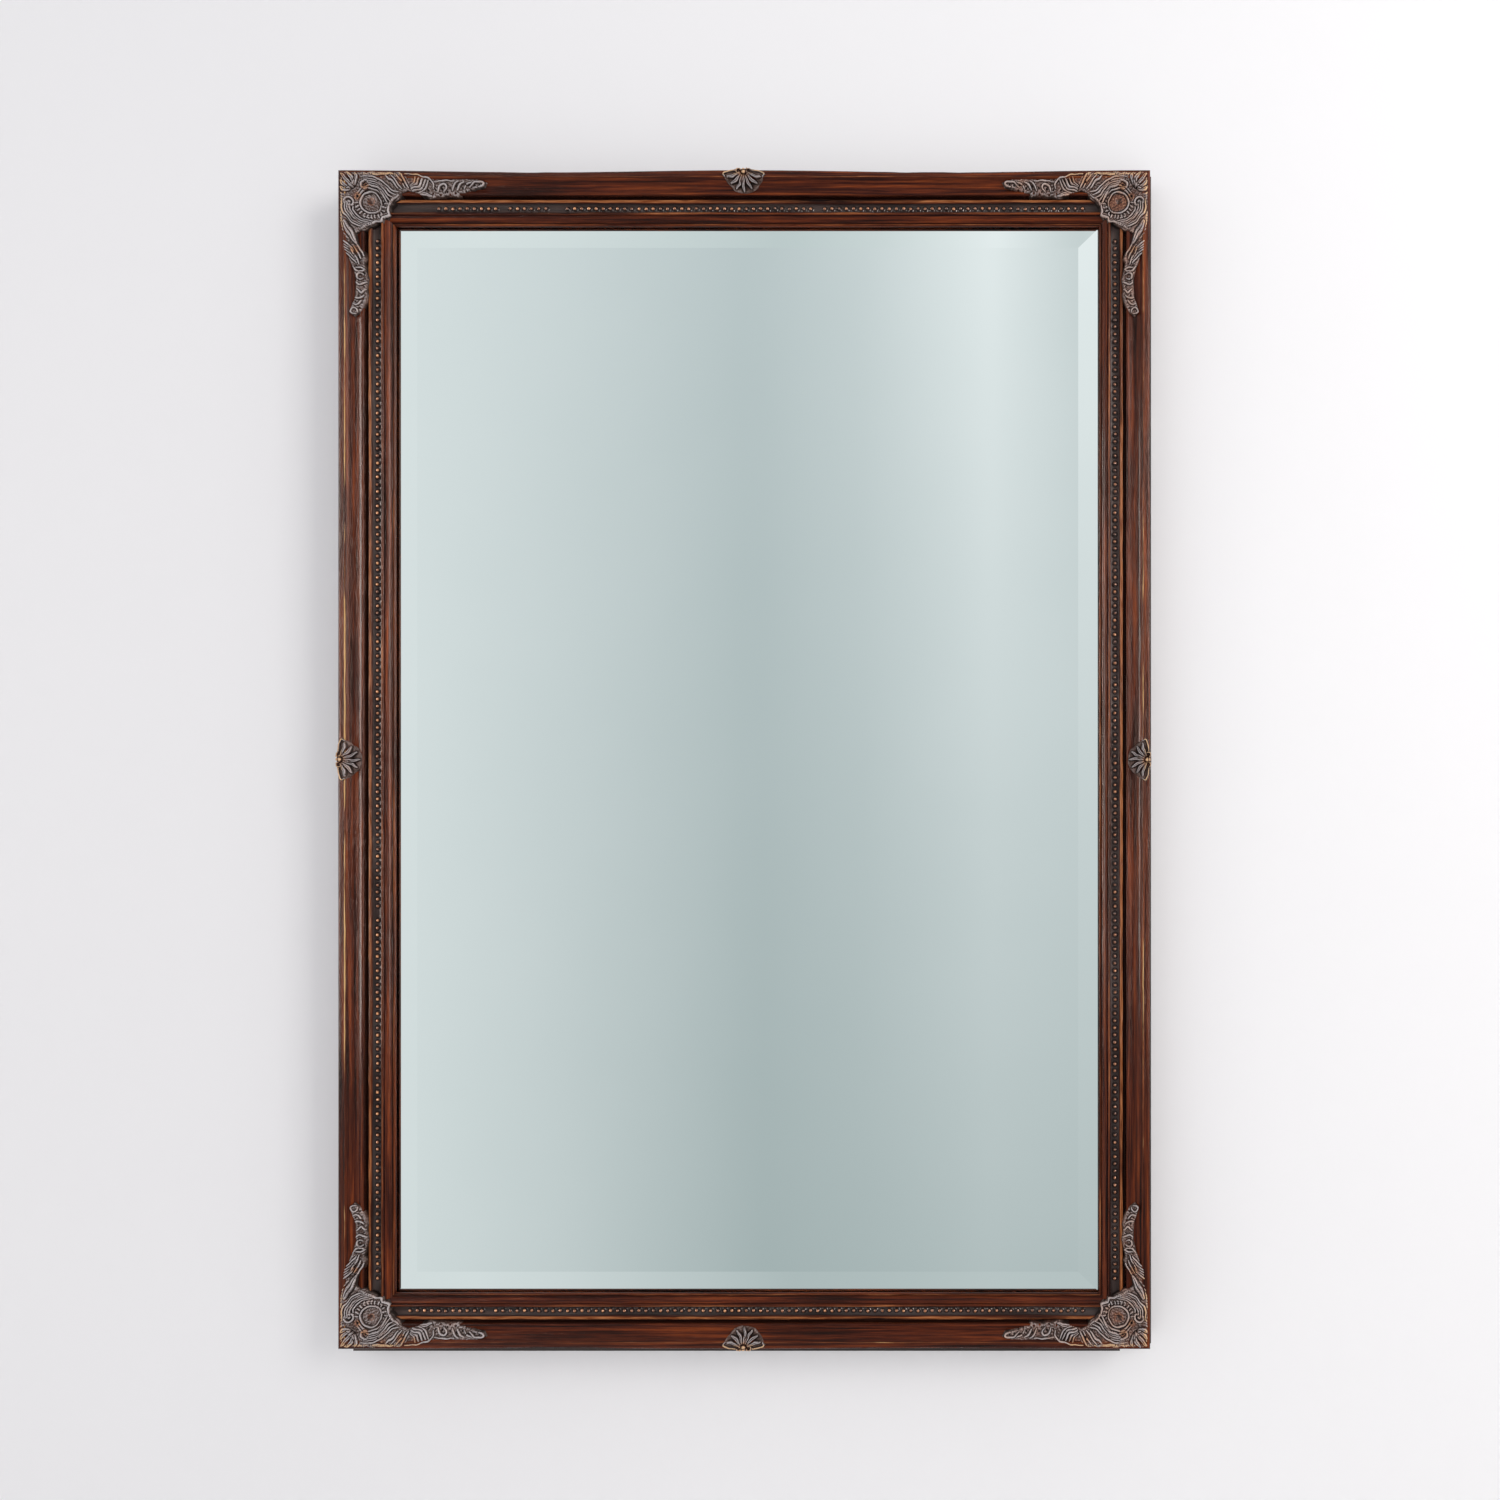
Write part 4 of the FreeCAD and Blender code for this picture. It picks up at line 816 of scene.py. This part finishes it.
def shellHeight(u, v):
    waver, length = shell["waver"]
    u, v = u + waver * wobble(u, v, length, 6), v + waver * wobble(u, v, length, 7)
    height = np.zeros(u.shape)
    raiseGround(height, u, v, shell["ground"], shellGround(u, v), shell["rounding"])
    for points, half, rise in shellMarks:
        carveMark(height, u, v, points, half, rise)
    much, length = shell["dents"]
    return np.minimum(height + much * wobble(u, v, length, 8), shell["highest"])


firstShell = carvedRelief(
    "carved_shell", shell["low"], shell["high"], shellHeight, shell["step"], shell["root"],
    shell["rubbed"], lambda u, v: shellGround(u, v) + shell["besideRise"])
shellPieces = [firstShell] + [copyOf(firstShell, "carved_shell") for _ in range(3)]
for side, piece in zip(sideWays, shellPieces):
    piece.name = piece.data.name = side + "_shell_carving"
    shape = coordsOf(piece)
    setCoords(piece, toSide(side, shape[:, 0], shape[:, 1], shape[:, 2]))
    finishPiece(piece, side + "_shell_ornament", shell["smooth"])
print("shells are in place")

room = {
    "wall": "#efeff0", "wallWide": 6, "wallPlace": 0.0004,
    "floor": "#e9e8e7", "floorWide": 8, "floorPlace": -1.45,
    "seen": "#f4f4f4", "ambient": "#f6f6fa", "strength": 0.8,
    # each lamp: its place, its size, its power, its colour, whether it makes only glints, its spread
    "lamps": {
        "key_lamp": ((2.1, -1.75, 0.9), (0.85, 1.4), 31, "#fffcf8", False, 180),
        "left_strip": ((-2.2, -1.2, 0.2), (0.35, 1.8), 100, "#fff2ea", True, 180),
        "right_strip": ((2.0, -0.9, 0.2), (0.3, 1.8), 92, "#fff0e8", True, 180),
        "back_lamp": ((0, 1.5, 0), (0.6, 0.9), 6, "#ffffff", False, 65),
    },
}


def stagePlane(name, size, spot, turn, code, oneSided):
    bpy.ops.object.select_all(action="DESELECT")
    bpy.ops.mesh.primitive_plane_add(size=size, location=spot, rotation=turn)
    plane = bpy.context.object
    plane.name = plane.data.name = name
    bpy.ops.object.transform_apply(location=True, rotation=True, scale=True)
    made, tree, shader = newMaterial(name + "_paint", {"Roughness": 0.9})
    coords = addNode(tree, "ShaderNodeTexCoord").outputs["Object"]
    cloud = addNode(tree, "ShaderNodeTexNoise", {"Vector": coords, "Scale": 3, "Detail": 2})
    faint = addNode(tree, "ShaderNodeMath", {0: cloud, 1: 0.1}, operation="MULTIPLY")
    colour = addNode(tree, "ShaderNodeMix", {0: faint, 6: code, 7: "#ffffff"}, data_type="RGBA")
    join(tree, shader, {"Base Color": colour})
    if oneSided:  # seen from behind, the wall is left out so that the mirror's back shows
        clear = addNode(tree, "ShaderNodeBsdfTransparent")
        behind = addNode(tree, "ShaderNodeNewGeometry").outputs["Backfacing"]
        shadow = addNode(tree, "ShaderNodeLightPath").outputs["Is Shadow Ray"]  # lets the back lamp through
        behind = addNode(tree, "ShaderNodeMath", {0: behind, 1: shadow}, operation="MAXIMUM")
        both = addNode(tree, "ShaderNodeMixShader", {0: behind, 1: shader, 2: clear})
        join(tree, tree.nodes["Material Output"], {"Surface": both})
    plane.data.materials.append(made)
    return plane


standing = (math.radians(90), 0, 0)
stagePlane("wall", room["wallWide"], (0, room["wallPlace"], 0), standing, room["wall"], True)
floor = stagePlane("floor", room["floorWide"], (0, 0, room["floorPlace"]), (0, 0, 0), room["floor"], False)
floor.visible_glossy = False  # the glass would show its edge

for name, (spot, size, power, code, glintsOnly, spread) in room["lamps"].items():
    bpy.ops.object.light_add(type="AREA", location=spot)
    lamp = bpy.context.object
    lamp.name = name
    lamp.data.shape = "RECTANGLE"
    lamp.data.size, lamp.data.size_y = size
    lamp.data.energy = power
    lamp.data.color = linear(code)[:3]
    lamp.data.spread = math.radians(spread)
    lamp.visible_diffuse = not glintsOnly
    lamp.rotation_euler = (-Vector(spot)).to_track_quat("-Z", "Y").to_euler()

# the room that the glass shows: pale walls to the left and upper right, darker between and below
world = bpy.data.worlds.new("pale_room")
bpy.context.scene.world = world
world.use_nodes = True
tree = world.node_tree
tree.nodes.clear()
way = addNode(tree, "ShaderNodeSeparateXYZ", {0: addNode(tree, "ShaderNodeTexCoord").outputs["Generated"]})
depth = addNode(tree, "ShaderNodeMath", {0: way.outputs[1]}, operation="ABSOLUTE")
depth = addNode(tree, "ShaderNodeMath", {0: depth, 1: 0.2}, operation="MAXIMUM")
across = addNode(tree, "ShaderNodeMath", {0: way.outputs[0], 1: depth}, operation="DIVIDE")
across = addNode(tree, "ShaderNodeMapRange", {"Value": across, "From Min": -1, "From Max": 1})
upwards = addNode(tree, "ShaderNodeMath", {0: way.outputs[2], 1: depth}, operation="DIVIDE")
upwards = addNode(tree, "ShaderNodeMapRange", {"Value": upwards, "From Min": -1, "From Max": 1})
base = addNode(tree, "ShaderNodeValToRGB", {"Fac": upwards}, [
    (0.0, "#c2cbcb"), (1.0, "#d0d8d8"), (0.2, "#b8c1c2"),
    (0.29, "#b0babb"), (0.72, "#c6ced0"), (0.8, "#c8d1d2")])
leftGlow = addNode(tree, "ShaderNodeValToRGB", {"Fac": across}, [
    (0.1, 0.68), (0.38, 0.0), (0.23, 0.64), (0.3, 0.36)])
rightGlow = addNode(tree, "ShaderNodeValToRGB", {"Fac": across}, [
    (0.37, 0.0), (0.6, 1.0), (0.42, 0.34), (0.475, 1.0), (0.51, 0.82)])
higher = addNode(tree, "ShaderNodeValToRGB", {"Fac": upwards}, [
    (0.28, 0.18), (0.75, 1.0), (0.49, 0.43), (0.62, 0.68)])
rightGlow = addNode(tree, "ShaderNodeMath", {0: rightGlow, 1: higher}, operation="MULTIPLY")
glow = addNode(tree, "ShaderNodeMath", {0: leftGlow, 1: rightGlow}, operation="ADD")
tone = addNode(tree, "ShaderNodeMix", {0: glow, 6: base, 7: "#f7f9fa"}, data_type="RGBA")
beside = addNode(tree, "ShaderNodeValToRGB", {"Fac": across}, [(0.475, 0.0), (0.56, 0.0), (0.515, 1.0)])
above = addNode(tree, "ShaderNodeValToRGB", {"Fac": upwards}, [(0.52, 0.0), (0.76, 0.5)])
dim = addNode(tree, "ShaderNodeMath", {0: beside, 1: above}, operation="MULTIPLY")
tone = addNode(tree, "ShaderNodeMix", {0: dim, 6: tone, 7: "#b4bebf"}, data_type="RGBA")
rays = addNode(tree, "ShaderNodeLightPath")
mirrored = addNode(tree, "ShaderNodeBackground", {"Color": tone})
ambient = addNode(tree, "ShaderNodeBackground", {"Color": room["ambient"], "Strength": room["strength"]})
shown = addNode(tree, "ShaderNodeMixShader", {0: rays.outputs["Is Glossy Ray"], 1: ambient, 2: mirrored})
backdrop = addNode(tree, "ShaderNodeBackground", {"Color": room["seen"]})
shown = addNode(tree, "ShaderNodeMixShader", {0: rays.outputs["Is Camera Ray"], 1: shown, 2: backdrop})
addNode(tree, "ShaderNodeOutputWorld", {"Surface": shown})

photoView = {"spot": (0.258, -1.042, -0.016), "lens": 28.44, "sensor": 36, "shift": (-0.1997, 0.019)}
bpy.ops.object.camera_add(location=photoView["spot"], rotation=standing)
camera = bpy.context.object
camera.data.lens = photoView["lens"]
camera.data.sensor_width = photoView["sensor"]
camera.data.shift_x, camera.data.shift_y = photoView["shift"]
bpy.context.scene.camera = camera
bpy.context.scene.view_settings.view_transform = "Standard"
print("the room is lit")
